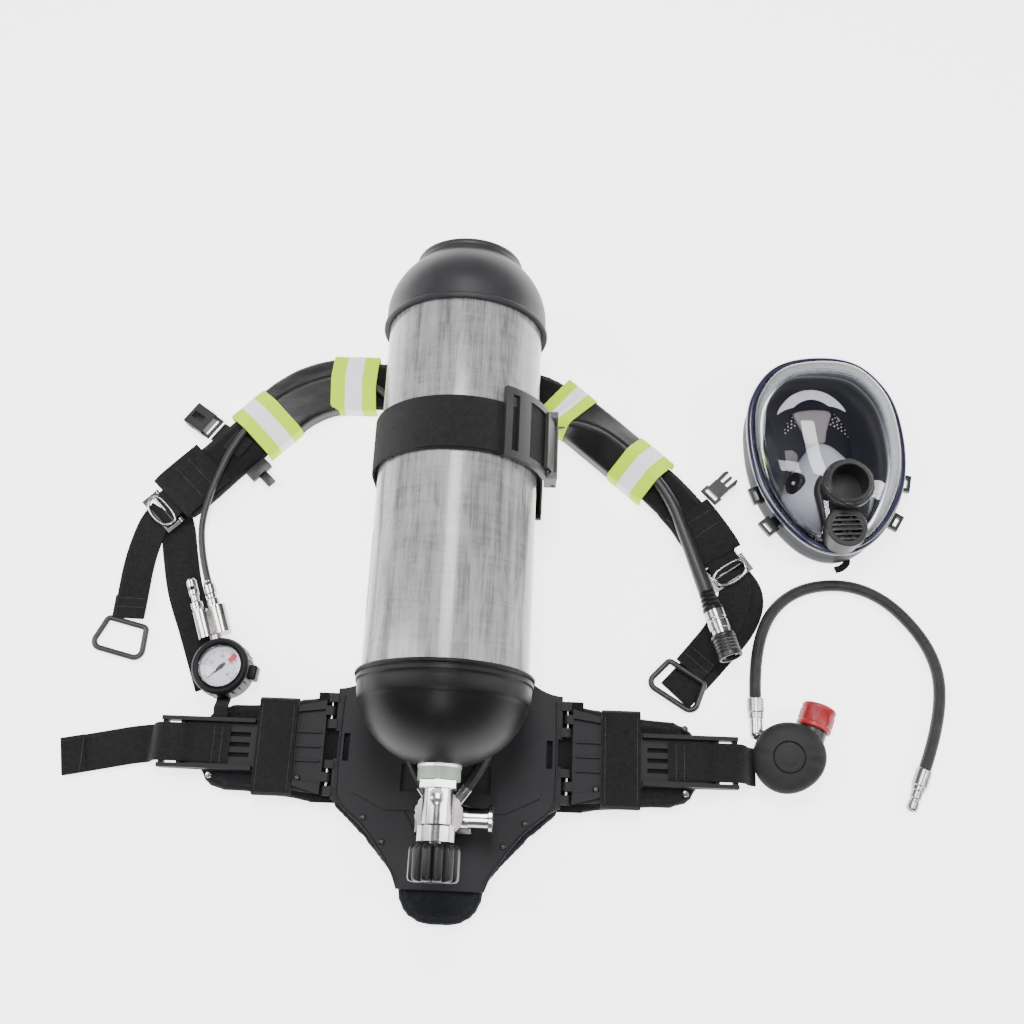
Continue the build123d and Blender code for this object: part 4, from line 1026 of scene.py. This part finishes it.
# ---- shoulder straps -----------------------------------------------------------------------
LEFT_LINE, RIGHT_LINE = ((-4, 402), (-172, 401), (-312, 255)), ((4, 406), (78, 405), (226, 279), (275, 210))


def straps():
    for word, line, width, radius, seed in (("left", LEFT_LINE, 60, 45, 5), ("right", RIGHT_LINE, 52, 40, 6)):
        outline = corner_round(band_outline(line, width, radius), 6, 2)
        pad(f"shoulder_padding_{word}", outline, (0, 18.2), PADDING, "pack", (f"shoulder_pad_{word}",), 7,
            seed=seed, cap=1.4)
    gauge_run, supply_run = hose_run(GAUGE), hose_run(SUPPLY)
    wraps = (((-127, 401.3), (-200, 400.9), 50, 62, gauge_run, 3.6),
             ((-221, 349.9), (-312, 255), 46, 62, gauge_run, 3.6),
             ((108, 379.5), (226, 279), 40, 54, supply_run, 5.6),
             ((190, 309.7), (226, 279), 46, 54, supply_run, 5.6))
    for k, (at, toward, length, width, run, radius) in enumerate(wraps):
        forward = heading((*at, 0), (*toward, 0))
        line = [Vector((*at, 0)) + forward * (length * (i / 12 - 0.5)) for i in range(13)]
        wrapped(f"reflective_wrap_{k}", line, width / 2 + 1.8, run, radius, REFLECT, "reflective", 1.0,
                ("reflective_wraps",) if k == 0 else ())
    sleeves = (("left", LEFT_LINE, 45, (-224, -130), 31.2, gauge_run, 3.6),
               ("right", RIGHT_LINE, 40, (110, 188), 27.2, supply_run, 5.6))
    for word, line, bending, (low, high), half, run, radius in sleeves:
        line = [Vector((*p, 0)) for p in resampled(smooth_corner(line, bending, 24), 5, False)
                if low < p[0] < high]
        wrapped(f"strap_sleeve_{word}", line, half, run, radius, SLEEVE, "padding", 0.2)


def hose_run(control):
    """Points of a hose's centre line, from its control points."""
    n = 12
    p = [Vector(q) for q in control]
    out = []
    for i in range(1, len(p) - 1):
        a = p[0] if i == 1 else (p[i - 1] + p[i]) / 2
        c = p[-1] if i == len(p) - 2 else (p[i] + p[i + 1]) / 2
        out += bend(a, p[i], c, n, 0)
    return out + [p[-1]]


def crossing(run, at, forward, across):
    """Where a hose crosses the plane through a point: its sideways place and its height."""
    best = None
    for a, b in zip(run, run[1:]):
        da, db = (a - at).dot(forward), (b - at).dot(forward)
        if da * db > 0 or abs(db - da) < 1e-6:
            continue
        q = a.lerp(b, da / (da - db))
        side = (q - at).dot(across)
        if best is None or abs(side) < abs(best[0]):
            best = (side, q.z)
    return best


def wrapped(name, line, half, run, radius, mat, slot, lift, gone=()):
    """A sleeve drawn tight over the pad and over the hose that lies on it."""
    rows, uvs = [], []
    count = len(line)
    last = None
    for i, at in enumerate(line):
        forward = tangent(line, i)
        across = Vector((forward.y, -forward.x, 0))
        found = crossing(run, at, forward, across)
        last = found if found and abs(found[0]) < half + 12 else last
        marks = [Vector((s * (half - 5 + 5 * math.sin(a)), 13.4 + lift + 5 * math.cos(a)))
                 for s in (-1, 1) for a in (math.radians(15 * k) for k in range(7))]
        marks += [Vector((s * half, 0.6)) for s in (-1, 1)]
        if last:
            side = max(-half + radius - 1, min(half - radius + 1, last[0]))
            marks += [Vector((side + (radius + 0.8 + lift) * math.cos(a), last[1]
                              + (radius + 0.8 + lift) * math.sin(a)))
                      for a in around(24)]
        hull = [marks[k] for k in convex_hull_2d(marks)]
        start = max(range(len(hull)), key=lambda k: hull[k].x - 3 * hull[k].y)
        hull = hull[start:] + hull[:start]
        if hull[1].y < 1:
            hull = hull[1:] + [hull[0]]
        total = sum((b - a).length for a, b in zip(hull, hull[1:]))
        skin = (resampled([tuple(p) for p in hull], total / 41.5, False) + [tuple(hull[-1])] * 3)[:43]
        t = i / (count - 1)
        row = []
        for j, (s, h) in enumerate(skin + skin[::-1]):
            inner = 0.955 if j >= len(skin) else 1.0
            k = j if j < len(skin) else 2 * len(skin) - 1 - j
            soft = 0.8 * hash_noise(at.x * 0.07 + at.y * 0.05, skin[k][0] * 0.09,
                                    at.y * 0.06) + 0.5 * math.cos((t - 0.5) * math.pi)
            grow = (1 + 0.012 * soft) * inner
            row.append(tuple(at + across * (s * grow) + Z * (h * (1 + 0.02 * soft) * inner if h > 2 else h)))
            uvs.append((k * 0.0022, t))
        rows.append(row)
    v, f = grid(rows, True, False, True)
    return piece(name, v, f, mat, "pack", uvs=uvs, slot=slot, gone=gone, angle=50)


def seam(name, p, across, half):
    """A row of stitches across a strap."""
    stitches(name, [tuple(p - across * half), tuple(p), tuple(p + across * half)], "pack", "webbing")


def webbing():
    lines = (
        ("pull_web_left", ((-321, 247, 7.4), (-331, 229, 6.4), (-337, 204, 6.2), (-340, 180, 6),
                           (-341, 150, 6.2), (-342, 128, 6)), 33),
        ("lower_web_left", ((-311, 242, 3.2), (-304, 222, 1.7), (-298, 196, 1.5), (-288, 160, 1.5),
                            (-270, 118, 1.6), (-246, 60, 1.5)), 37),
        ("pull_web_right", ((283, 199, 7.4), (289, 183, 6.6), (283, 156, 6.2), (270, 132, 6), (256, 114, 6.2),
                            (240, 94.5, 6)), 33),
        ("lower_web_right", ((282, 202, 3.2), (300, 176, 1.7), (292, 146, 1.5), (262, 108, 1.6),
                             (226, 68, 1.5)), 38),
    )
    for k, (name, points, width) in enumerate(lines):
        gone = ("adjusting_webbing",) if k == 0 else ()
        strap(name, points, width, 2.0, WEBBING, "pack", 10, slot="webbing", gone=gone)
    for name, a, b, width in (("pull_fold_left", (-341.6, 150), (-342.2, 126), 33),
                              ("pull_fold_right", (254, 111), (239.6, 94), 33)):
        d = Vector((b[0] - a[0], b[1] - a[1], 0)).normalized()
        across = Vector((d.y, -d.x, 0))
        strap(name, [(*a, 8.1), ((a[0] + b[0]) / 2, (a[1] + b[1]) / 2, 8.4), (*b, 8.1)], width, 1.9, WEBBING,
              "pack", 8, slot="webbing")
        for m in (2.5, 12):
            seam(f"{name}_stitches_{m:.0f}", Vector((*a, 9.3)) + d * m, across, 14)
    flaps = (("flap_left", ((-272, 300, 19.4), (-290, 281, 20), (-306, 264, 19.6), (-313, 256.5, 17)), 58),
             ("flap_right", ((240, 262, 19.2), (254, 243, 20), (267, 224, 19.4), (273, 214, 17)), 50))
    for name, points, width in flaps:
        strap(name, points, width, 2.0, WEBBING, "pack", 8, slot="webbing")
    for word, base, along in (("left", (-284, 287, 21.2), (-0.692, -0.722, 0)),
                              ("right", (247, 252.5, 21.2), (0.58, -0.815, 0))):
        d = Vector(along).normalized()
        across = Vector((d.y, -d.x, 0))
        for m in (0, 16):
            seam(f"flap_stitches_{word}_{m}", Vector(base) + d * m, across, 22 if word == "left" else 18)
    clip((-224, 296), (-0.69, -0.72))


def clip(at, along):
    """A small strap keeper on the left strap's inner edge."""
    m = place((*at, 7.0), (*along, 0))
    brick("strap_keeper", (-13, 13), (-7, 7), (0, 7), BLACK, "pack", m, 1.4, slot="black_plastic")
    brick("strap_keeper_tail", (-5, 5), (6, 22), (-1, 3.4), BLACK, "pack", m, 1.2, slot="black_plastic")


def clips():
    for node in ("chest_buckle_socket", "chest_buckle_plug"):
        dress(node, BLACK)
    for node in ("strap_adjuster_left", "strap_adjuster_right"):
        dress(node, CHROME)
    dress("pull_handle_left", BUCKLE)
    dress("pull_handle_right", BLACK)
    for word, at, toward in (("left", (-250, 323), (-279, 343)), ("right", (234, 254), (263.5, 282.5))):
        d = heading((*at, 0), (*toward, 0))
        points = [tuple(Vector((*at, 19)) + d * k + Z * h) for k,
                  h in ((-14, 1.2), (0, 1), (10, -2), (22, -7), (30, -9.4))]
        strap(f"chest_web_{word}", points, 24, 1.8, WEBBING, "pack", 8, slot="webbing")
    for word, at, toward in (("left", (-316, 251), (-326, 241)), ("right", (278, 205.5), (284, 197))):
        d = heading((*at, 0), (*toward, 0))
        m = place((*at, 9), tuple(d))
        loop = [m @ Vector(q) * 1000 for q in ((2, -17, 3.6), (10, -19, 3.4), (17.5, -15, 3), (20.5, 0, 2.8),
                                               (17.5, 15, 3), (10, 19, 3.4),
                                               (2, 17, 3.6), (0.5, 0, 3.8))]
        curve(f"adjuster_wire_{word}", [tuple(q) for q in loop], 1.5, CHROME, f"{word}_adjuster", cyclic=True)
        strap(f"adjuster_fold_{word}", [tuple(Vector((*at, 9)) + d * k + Z * h) for k,
                                        h in ((-16, 6), (-6, 5.6), (0, 4.6), (4.4, 1.4), (4.6, -1.6),
                                              (0, -4.6), (-8, -5.4))],
              35, 1.6, WEBBING, "pack", 6, slot="webbing")


# ---- pressure gauge ------------------------------------------------------------------------
GX, GY = -232.0, 74.0


def gauge():
    at = (GX, GY, 0)
    outer = [(24.2, 3.4), (26.4, 2.9), (28.1, 4.6), (28.7, 9), (28.7, 30), (28.9, 34), (28.2, 36.6),
             (26.4, 38.3), (24, 38.5), (22.2, 37.6), (21.5, 36.6), (21.5, 34.4), (24.1, 34), (24.1, 20)]
    lathe("gauge_boot", outer, RUBBER, "pack", at=at, seg=120, slot="black_rubber", gone=("gauge_cover",))
    ring = [(21.3, 37.2), (22.4, 38.2), (22.8, 38.9), (22.2, 39.2), (21.2, 38.2)]
    lathe("gauge_boot_lip", ring, RUBBER, "pack", at=at, seg=120, slot="black_rubber")
    for k, a in enumerate(around(24)):
        m = place((GX + 28.4 * math.cos(a), GY + 28.4 * math.sin(a), 8), (math.cos(a), math.sin(a), 0))
        if abs(math.degrees(a) - 110) > 24:
            brick(f"grip_{k}", (-0.8, 0.9), (-1.1, 1.1), (0, 22), RUBBER, "pack", m, 0.5, slot="black_rubber")
    lug = place((GX + 27, GY - 3, 12), (1, -0.12, 0))
    brick("gauge_lug", (-3, 8.4), (-7.5, 7.5), (0, 16), RUBBER, "pack", lug, 2.4, steps=3,
          slot="black_rubber")
    dress("gauge_case", STEEL)
    dress("gauge_manifold", CHROME)
    dress("whistle", CHROME)
    lathe("dial", [(0, 31.1), (20.7, 31.1), (20.7, 29), (0, 29)], WHITE, "pack", at=at, seg=96, closed=False,
          slot="dial_white", gone=("gauge_dial",))
    verts, faces = [], []
    for k in range(41):
        a = math.radians(225 - 6.75 * k)
        long, wide = (4.4, 0.5) if k % 5 == 0 else (2.4, 0.28)
        u, s = Vector((math.cos(a), math.sin(a), 0)), Vector((-math.sin(a), math.cos(a), 0))
        base = len(verts)
        for h in (31.05, 31.3):
            for r, w in ((18.2 - long, -wide / 2), (18.2, -wide / 2), (18.2, wide / 2),
                         (18.2 - long, wide / 2)):
                verts.append(tuple(Vector((GX, GY, h)) + u * r + s * w))
        b = base
        faces += [(b + 3, b + 2, b + 1, b), (b + 4, b + 5, b + 6, b + 7)] + [(b + i, b + (i + 1) % 4, b + 4
                + (i + 1) % 4, b + 4 + i) for i in range(4)]
    parts = [piece("dial_marks", verts, faces, INK, None)]
    for k, word in enumerate(("0", "10", "20", "30", "40")):
        a = math.radians(225 - 67.5 * k)
        text = bpy.data.curves.new("number", "FONT")
        text.body, text.size = word, 0.0042
        text.align_x, text.align_y, text.extrude = "CENTER", "CENTER", 0.0001
        t = bpy.data.objects.new(f"number_{word}", text)
        bpy.context.collection.objects.link(t)
        t.location = ((GX + 10.8 * math.cos(a)) * 0.001, (GY + 10.8 * math.sin(a)) * 0.001, 0.03118)
        bpy.context.view_layer.update()
        mesh = bpy.data.meshes.new_from_object(t.evaluated_get(bpy.context.evaluated_depsgraph_get()))
        mesh.transform(t.matrix_world)
        bpy.data.objects.remove(t)
        mesh.materials.clear()
        mesh.materials.append(INK)
        number = bpy.data.objects.new(f"dial_number_{word}", mesh)
        bpy.context.collection.objects.link(number)
        parts.append(number)
    tell(join("dial_marks", parts), "pack")
    sector("dial_red", (18.5, 9.5), (28, 52), REDINK)
    hand = [(-5.4, -1.3), (0, -1.9), (15.6, -0.25), (15.6, 0.25), (0, 1.9), (-5.4, 1.3)]
    m = place((GX, GY, 0), (math.cos(math.radians(225)), math.sin(math.radians(225)), 0))
    pin = lathe("hand_pin", [(0, 33.4), (1.6, 33.3), (2.1, 32.8), (2.1, 31.2), (0, 31.2)], INK, None, at=at,
                seg=36, closed=False)
    tell(join("dial_hand", [prism("dial_hand", hand, (31.7, 32.4), INK, None, m, 0.12), pin]), "needle",
         ("gauge_needle",))
    glass = [(0, 36.9), (8, 36.8), (16, 36.3), (21.2, 35.3), (21.4, 34.4), (0, 34.4)]
    lathe("dial_glass", glass, LENS, "pack", at=at, seg=96, closed=False, slot="clear", gone=("gauge_lens",))
    link = [(-231, 47.5, 8), (-230, 42, 14), (-229, 36, 22), (-228, 28, 24.6), (-228, 22, 24.6)]
    tether = strap("gauge_tether", link, 15, 2.2, WEBBING, None, 8)
    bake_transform(tether)


def sector(name, radii, angles, mat):
    rows = []
    for k in range(25):
        a = math.radians(angles[0] + (angles[1] - angles[0]) * k / 24)
        rows.append([(GX + r * math.cos(a), GY + r * math.sin(a), h) for r,
                     h in ((radii[1], 31), (radii[0], 31), (radii[0], 31.22), (radii[1], 31.22))])
    v, f = grid(rows, True, False, True)
    return piece(name, v, f, mat, "pack", slot="cap_red")


def coupler():
    dress("coupler_boot", RUBBER)
    dress("coupler_body", CHROME)
    at, along = (256, 170, 29), (0.3, -0.954, 0.12)
    cuff = hose_run(SUPPLY)[-22:]
    rows = []
    for i, p in enumerate(cuff):
        t = tangent(cuff, i)
        side = t.cross(Z).normalized()
        high = side.cross(t)
        r = 5.8 + 2.4 * (i / (len(cuff) - 1)) ** 1.3
        rows.append([tuple(p + side * (r * math.cos(a)) + high * (r * math.sin(a))) for a in around(24)])
    v, f = grid(rows, True, False, True)
    piece("coupler_cuff", v, f, HOSE, "pack", slot="hose_rubber")
    grip = [(9.7, 48), (12, 48), (12.4, 49), (12.4, 51.4), (11.6, 52.4)]
    for k in range(4):
        grip += [(11.6, 53.6 + 3.4 * k), (12.1, 54.4 + 3.4 * k), (12.1, 55.6 + 3.4 * k),
                 (11.6, 56.4 + 3.4 * k)]
    grip += [(11.5, 67.4), (12.4, 68.2), (12.4, 72.2), (11.6, 73), (9.7, 73)]
    lathe("coupler_grip", grip, BLACK, "sleeve", at=at, along=along, seg=72, slot="black_plastic",
          gone=("coupler_sleeve",))


# ---- face mask -----------------------------------------------------------------------------
MX, MY = 384.0, 324.0               # middle of the mask
MASK_SIZE, MASK_TURN = 0.92, 4.5    # scale of the drawn mask, and its turn in degrees
PORT, CHIN = (388, 268, 0), (383, 222, 0)
VALVE_DISC = {"closed": False, "slot": "valve_plastic"}
EGG = ((0, 116), (46, 106), (76, 68), (84, 18), (78, -34), (59, -76), (32, -106))


def egg(grow=0.0, n=120):
    """The mask's outline about its centre, grown outwards."""
    ring = [Vector((x, y, 0)) for x, y in EGG] + [Vector((0, -117, 0))] + [Vector((-x, y, 0)) for x,
            y in reversed(EGG[1:])]
    pts = []
    m = len(ring)
    for i in range(m):
        a, b, c, d = (ring[(i + k) % m] for k in (-1, 0, 1, 2))
        pts += [spline_point(a, b, c, d, k / 8) for k in range(8)]
    flat = resampled([(p.x, p.y) for p in pts], sum((pts[i] - pts[i - 1]).length
                                                    for i in range(len(pts))) / n)[:n]
    out = []
    for i, p in enumerate(flat):
        a, b = flat[i - 1], flat[(i + 1) % len(flat)]
        t = (Vector(b) - Vector(a)).normalized()
        out.append((p[0] - t.y * grow, p[1] + t.x * grow))
    return out


def egg_ring(section, name, mat, slot, gone):
    """A rim: a closed section of (growth, height) points carried around the mask's outline."""
    rings = [egg(g) for g, _ in section]
    count = min(len(r) for r in rings)
    rows = [[(MX + rings[j][i][0], MY + rings[j][i][1], section[j][1]) for j in range(len(section))]
            for i in range(count)]
    v, f = grid(rows, True, True)
    return piece(name, v, f, mat, "mask", slot=slot, gone=gone, angle=60)


WORN = Matrix.Translation((0.384, 0.324, 0)) @ Matrix.Rotation(math.radians(MASK_TURN), 4, "Z")
WORN = WORN @ Matrix.Scale(MASK_SIZE, 4) @ Matrix.Translation((-0.384, -0.324, 0))


def mask():
    """The mask is drawn upright and too large, and WORN brings its pieces to their size and turn."""
    before = set(bpy.data.objects)
    skirt = [(-4.6, 40), (-0.4, 40), (0.6, 36), (0.2, 30), (1.8, 20), (3.4, 11), (3, 5), (0.4, 1.2),
             (-5, 0.4), (-16, 0.9), (-30, 4), (-44, 9.4), (-44.6, 11), (-30, 6.4), (-16, 4.2), (-7, 4.8),
             (-3, 8), (-2.6, 14), (-4.4, 28)]
    egg_ring(skirt, "face_seal", MASKRUB, "mask_rubber", ("mask_skirt",))
    rim = [(-2.4, 40.3), (3.6, 40.3), (5.2, 41.4), (6, 43.6), (6, 47), (5.2, 49.4), (3, 50.6), (0, 50.8),
           (-1.6, 50), (-2.4, 48)]
    egg_ring(rim, "visor_rim", NAVY, "clamp_navy", ("visor_clamp",))
    visor()
    dress("mask_front", VALVEP)
    dress("exhalation_disc", GREY)
    port_details()
    cup()
    harness()
    dress("mask_buckles", BLACK)
    for o in set(bpy.data.objects) - before:
        o.data.transform(WORN)


def visor():
    """The see-through dome: two skins from the rim to the top, open at the port."""
    rows = []
    steps = 22
    base = egg(-0.6)
    for shell in (0, 1):
        order = range(steps + 1) if shell == 0 else range(steps, -1, -1)
        for i in order:
            a = math.radians(90 * i / steps)
            k = math.cos(a) ** 0.86 if i < steps else 0.0
            h = 47.2 + (50 - 2.6 * shell) * math.sin(a) ** 1.05
            rows.append([(MX + x * (k * (1 - 0.03 * shell)), MY + y * (k * (1 - 0.03 * shell)), h) for x,
                         y in base])
    v, f = grid(rows, True, True)
    o = piece("face_screen", v, f, VISOR, None)
    cutters = [lathe(f"hole_{k}", [(0, 40), (r, 40), (r, 110), (0, 110)], BLACK, None, at=at, seg=72,
                     closed=False)
               for k, (r, at) in enumerate(((25.6, PORT), (22.8, CHIN)))]
    cut(o, *cutters)
    finish_mesh(o, 60)
    tell(o, "mask", ("visor",))


def port_details():
    at = PORT
    rings = [(20.3, 93.6), (27, 93.6), (28, 92.6), (28.3, 90.4), (28.3, 94), (27.6, 96), (25.4, 97.6),
             (25, 100.6), (23.6, 101.6), (20.3, 101.4)]
    lathe("port_ring", rings, VALVEP, "mask", at=at, seg=96, slot="valve_plastic")
    for k in range(6):
        a = math.radians(60 * k + 20)
        m = place((at[0] + 25.4 * math.cos(a), at[1] + 25.4 * math.sin(a), 96.4),
                  (math.cos(a), math.sin(a), 0))
        brick(f"port_tooth_{k}", (-2.2, 1.9), (-4.2, 4.2), (0, 3.4), VALVEP, "mask", m, 0.7,
              slot="valve_plastic")
    ring = [(31 * math.cos(a), 31 * math.sin(a)) for a in around(24)]
    chin = [(x - 4, y - 46) for x, y in ((-22, -2), (-19, -14), (-10, -20), (10, -20), (19, -14), (22, -2))]
    both = [Vector(q) for q in ring + chin]
    housing = [tuple(both[k]) for k in convex_hull_2d(both)]
    prism("port_housing", housing, (59, 72.6), VALVEP, "mask", place(at), 4.2, steps=4, slot="valve_plastic")
    lathe("port_floor", [(0, 50), (20, 50), (20, 47.6), (0, 47.6)], VALVEP, "mask", at=at, seg=48,
          **VALVE_DISC)
    for k, a in enumerate(around(6)):
        brick(f"port_spoke_{k}", (3, 19.6), (-1.1, 1.1), (49.8, 52.2), BLACK, "mask",
              place(at, (math.cos(a), math.sin(a), 0)), 0.4,
              slot="valve_plastic")
    lathe("port_hub", [(0, 53.6), (3, 53.4), (4.6, 52.6), (5, 49.8), (0, 49.8)], BLACK, "mask", at=at, seg=32,
          **VALVE_DISC)
    grille = [(15.6, 80.2), (21.8, 80.2), (22.6, 81), (22.6, 82), (21.6, 83), (17, 83), (15.6, 82)]
    lathe("chin_grille", grille, VALVEP, "mask", at=CHIN, seg=72, slot="valve_plastic")
    for k in range(6):
        y = -13.5 + 5.4 * k
        width = math.sqrt(max(0.0, 17.4 ** 2 - y * y))
        brick(f"chin_louvre_{k}", (-width, width), (y - 1.5, y + 1.5), (80.2, 82.6), VALVEP, "mask",
              place(CHIN), 0.7,
              slot="valve_plastic")


CUP_Y = 274      # middle of the inner mask


def cup():
    """The soft inner mask over the nose and mouth, from a pear-shaped foot to the round port."""
    rows = []
    levels = ((1.0, 9), (1.02, 12), (0.99, 22), (0.93, 34), (0.8, 47), (0.64, 57), (0.5, 63), (0.42, 66))
    n = 72
    for inner in (0, 1):
        for k, h in (levels if not inner else tuple(reversed(levels))):
            row = []
            for i in range(n):
                a = 2 * math.pi * i / n
                up = max(0.0, math.sin(a))
                reach_x = 53 * math.cos(a) * (1 - 0.42 * up ** 1.4)
                reach_y = (44 * math.sin(a) if math.sin(a) < 0 else 70 * math.sin(a) ** 1.25)
                t = (1.02 - k) / 0.6
                x = MX + 4 * t + reach_x * k
                y = 278 - 8 * t + reach_y * k * (1 - 0.18 * t)
                s = 1 - 0.045 * inner
                row.append((MX + (x - MX) * s, CUP_Y + (y - CUP_Y) * s, h - 1.8 * inner * (h > 20)))
            rows.append(row)
    v, f = grid(rows, True, True)
    piece("nose_cup", v, f, CUPRUB, "mask", slot="inner_grey", gone=("inner_mask",), angle=70)
    for side, word in SIDES:
        out = (0.86 * side, 0.12, 0.5)
        foot = (MX + 40.5 * side, 290, 41)
        name = f"check_valve_{word}"
        lathe(name, [(0, 1.4), (9, 1.4), (9.6, 3.4), (12, 3.4), (13, 2.2), (13.2, -4), (0, -4)], BLACK,
              "mask", at=foot, along=out, seg=48,
              **VALVE_DISC)
        lathe(f"{name}_hub", [(0, 3.6), (1.8, 3.4), (2.3, 2.4), (2.4, 1.2), (0, 1.2)], GREYWHITE, "mask",
              at=foot, along=out, seg=24,
              closed=False, slot="inner_grey")
        for k in range(3):
            a = math.radians(60 * k)
            m = place(foot, (0, 1, 0), out) @ Matrix.Rotation(a, 4, "Z")
            brick(f"{name}_spoke_{k}", (-9.4, 9.4), (-0.7, 0.7), (1.2, 2.6), BLACK, "mask", m, 0.2,
                  slot="valve_plastic")


def harness():
    """The head harness seen through the screen: pierced pale pads and thin straps."""
    verts, faces = [], []
    net = [(MX + x, MY + y) for x, y in egg(-34, 90)]
    prism("harness_net", net, (2.0, 3.6), MASKRUB, "mask", bevel=0.5, slot="mask_rubber",
          gone=("head_harness",))
    fan = [(373, 352), (370, 366), (360, 392), (372, 400), (384, 402.5), (396, 400), (408, 392), (398, 366),
           (395, 352)]
    prism("harness_fan", corner_round(fan, 5), (3.4, 9.4), TAUPE, "mask", bevel=2.0, steps=3,
          slot="harness_white")
    dots = []
    for side in (-1, 1):
        for r in range(5):
            for k in range(9):
                a = math.radians(26 + 6.2 * k - 2.4 * (r % 2))
                dots.append((384 + side * (62 - 3.6 * r) * math.cos(a), 336 + (62 - 3.6 * r) * math.sin(a)))
    for x, y in dots:
        base = len(verts)
        for h, rad in ((3.4, 1.0), (4.4, 1.0), (4.8, 0.7)):
            verts += [(x + rad * math.cos(math.pi * q / 3), y + rad * math.sin(math.pi * q / 3), h)
                      for q in range(6)]
        for lvl in (0, 6):
            faces += [(base + lvl + q, base + lvl + (q + 1) % 6, base + lvl + 6 + (q + 1) % 6, base + lvl + 6
                       + q) for q in range(6)]
        faces += [tuple(base + 12 + q for q in range(6)), tuple(base + q for q in reversed(range(6)))]
    piece("harness_dots", verts, faces, GREYWHITE, "mask", slot="harness_white")
    brow = ((346, 384, 4.4), (352, 398, 7), (366, 411, 9), (384, 416, 9.6), (402, 411, 9), (416, 398, 7),
            (422, 384, 4.4))
    strap("harness_strap_0", brow, 13, 1.4, GREYWHITE, "mask", 8, slot="harness_white")
    tab = [(338, 318), (358, 318), (361, 340), (356, 346), (340, 346), (335, 340)]
    prism("harness_tab", corner_round(tab, 3), (3.4, 7.4), TAUPE, "mask", bevel=1.2, slot="harness_white")
    tail = [(402, 212, 2.4), (401, 205, 1.8), (395, 199.6, 1.5), (387, 197, 1.5)]
    strap("neck_strap", tail, 8, 1.8, WEBBING, "mask", 8, slot="mask_rubber")


# ---- demand valve --------------------------------------------------------------------------
def demand_valve():
    at, up = (334, 7, 21), (-0.16, -0.12, 1)
    dress("dv_body", VALVEP)
    dress("dv_elbow", CHROME)
    dress("dv_hose_fittings", STEEL)
    profile = [(29.4, 6.6), (33.4, 6.8), (34.4, 8), (34.7, 10.4), (34.3, 12.6), (33, 14.6), (30.6, 16.6),
               (27, 18.4), (23, 19.6),
               (19, 20.4), (16, 20.7), (15.2, 20.3), (15.0, 12), (15.4, 8.4), (26, 8.2)]
    soft = lathe("rubber_dome", profile, DOME, None, at=at, along=up, seg=120)
    m = place(at, (1, 0.0013, 0.0007), up)
    back = m.inverted()
    for v in soft.data.vertices:
        p = back @ v.co
        r, a = math.hypot(p.x, p.y), math.atan2(p.y, p.x)
        w = max(0.0, min(1.0, (r - 17) / 8)) * max(0.0, min(1.0, (35 - r) / 3 + 0.4))
        lift = 0.34 * w * math.sin(8 * a + 2.4 * math.sin(2 * a)) + 0.6 * w * hash_noise(p.x * 0.12,
                p.y * 0.12, 4.0)
        swing = 1 + max(0.0, min(1.0, (r - 20) / 12)) * (0.03 * math.sin(2 * a + 0.5)
                                                         + 0.016 * math.sin(3 * a + 1.2))
        v.co = m @ Vector((p.x * swing, p.y * swing, p.z + (lift if p.z > 8.3 else 0)))
    tell(soft, "demand_valve", ("dv_cover",))
    button = [(0, 21.9), (4, 21.8), (8, 21.5), (9.2, 21), (10.4, 21.1), (13.4, 20.9), (14.5, 20.4),
              (14.75, 19), (14.5, 12), (0, 12)]
    lathe("purge_dome", button, DOME, "purge_button", at=at, along=up, seg=80, closed=False,
          slot="black_rubber", gone=("dv_purge_button",))
    cap_at = (351, 12, 20)
    out = heading(cap_at, (366, 53.3, 20))
    cap = [(14.3, 25.2), (16.4, 25.2), (17.2, 26.2), (17.2, 29.4), (16.4, 30.6), (16.2, 43.4), (16.8, 44.4),
           (16.8, 47.6), (15.8, 49), (10, 49.2), (9.4, 48.2), (0, 48.2), (0, 46), (14.3, 46)]
    lathe("red_cap", cap, RED, "outlet_cap", at=cap_at, along=tuple(out), seg=96, closed=False,
          slot="cap_red", gone=("dv_outlet_cap",))
    for k in range(8):
        a = math.radians(45 * k + 10)
        side = Vector((out.y, -out.x, 0))
        c = Vector(cap_at) + out * 31.5 + side * (16.2 * math.cos(a)) + Z * (16.2 * math.sin(a))
        m = place(tuple(c), tuple(out), tuple(side * math.cos(a) + Z * math.sin(a)))
        brick(f"cap_rib_{k}", (0, 11), (-1, 1), (-0.6, 0.9), RED, "outlet_cap", m, 0.4, slot="cap_red")


cylinder()
band()
valve()
backplate()
lumbar()
wings()
straps()
webbing()
clips()
gauge()
coupler()
mask()
demand_valve()
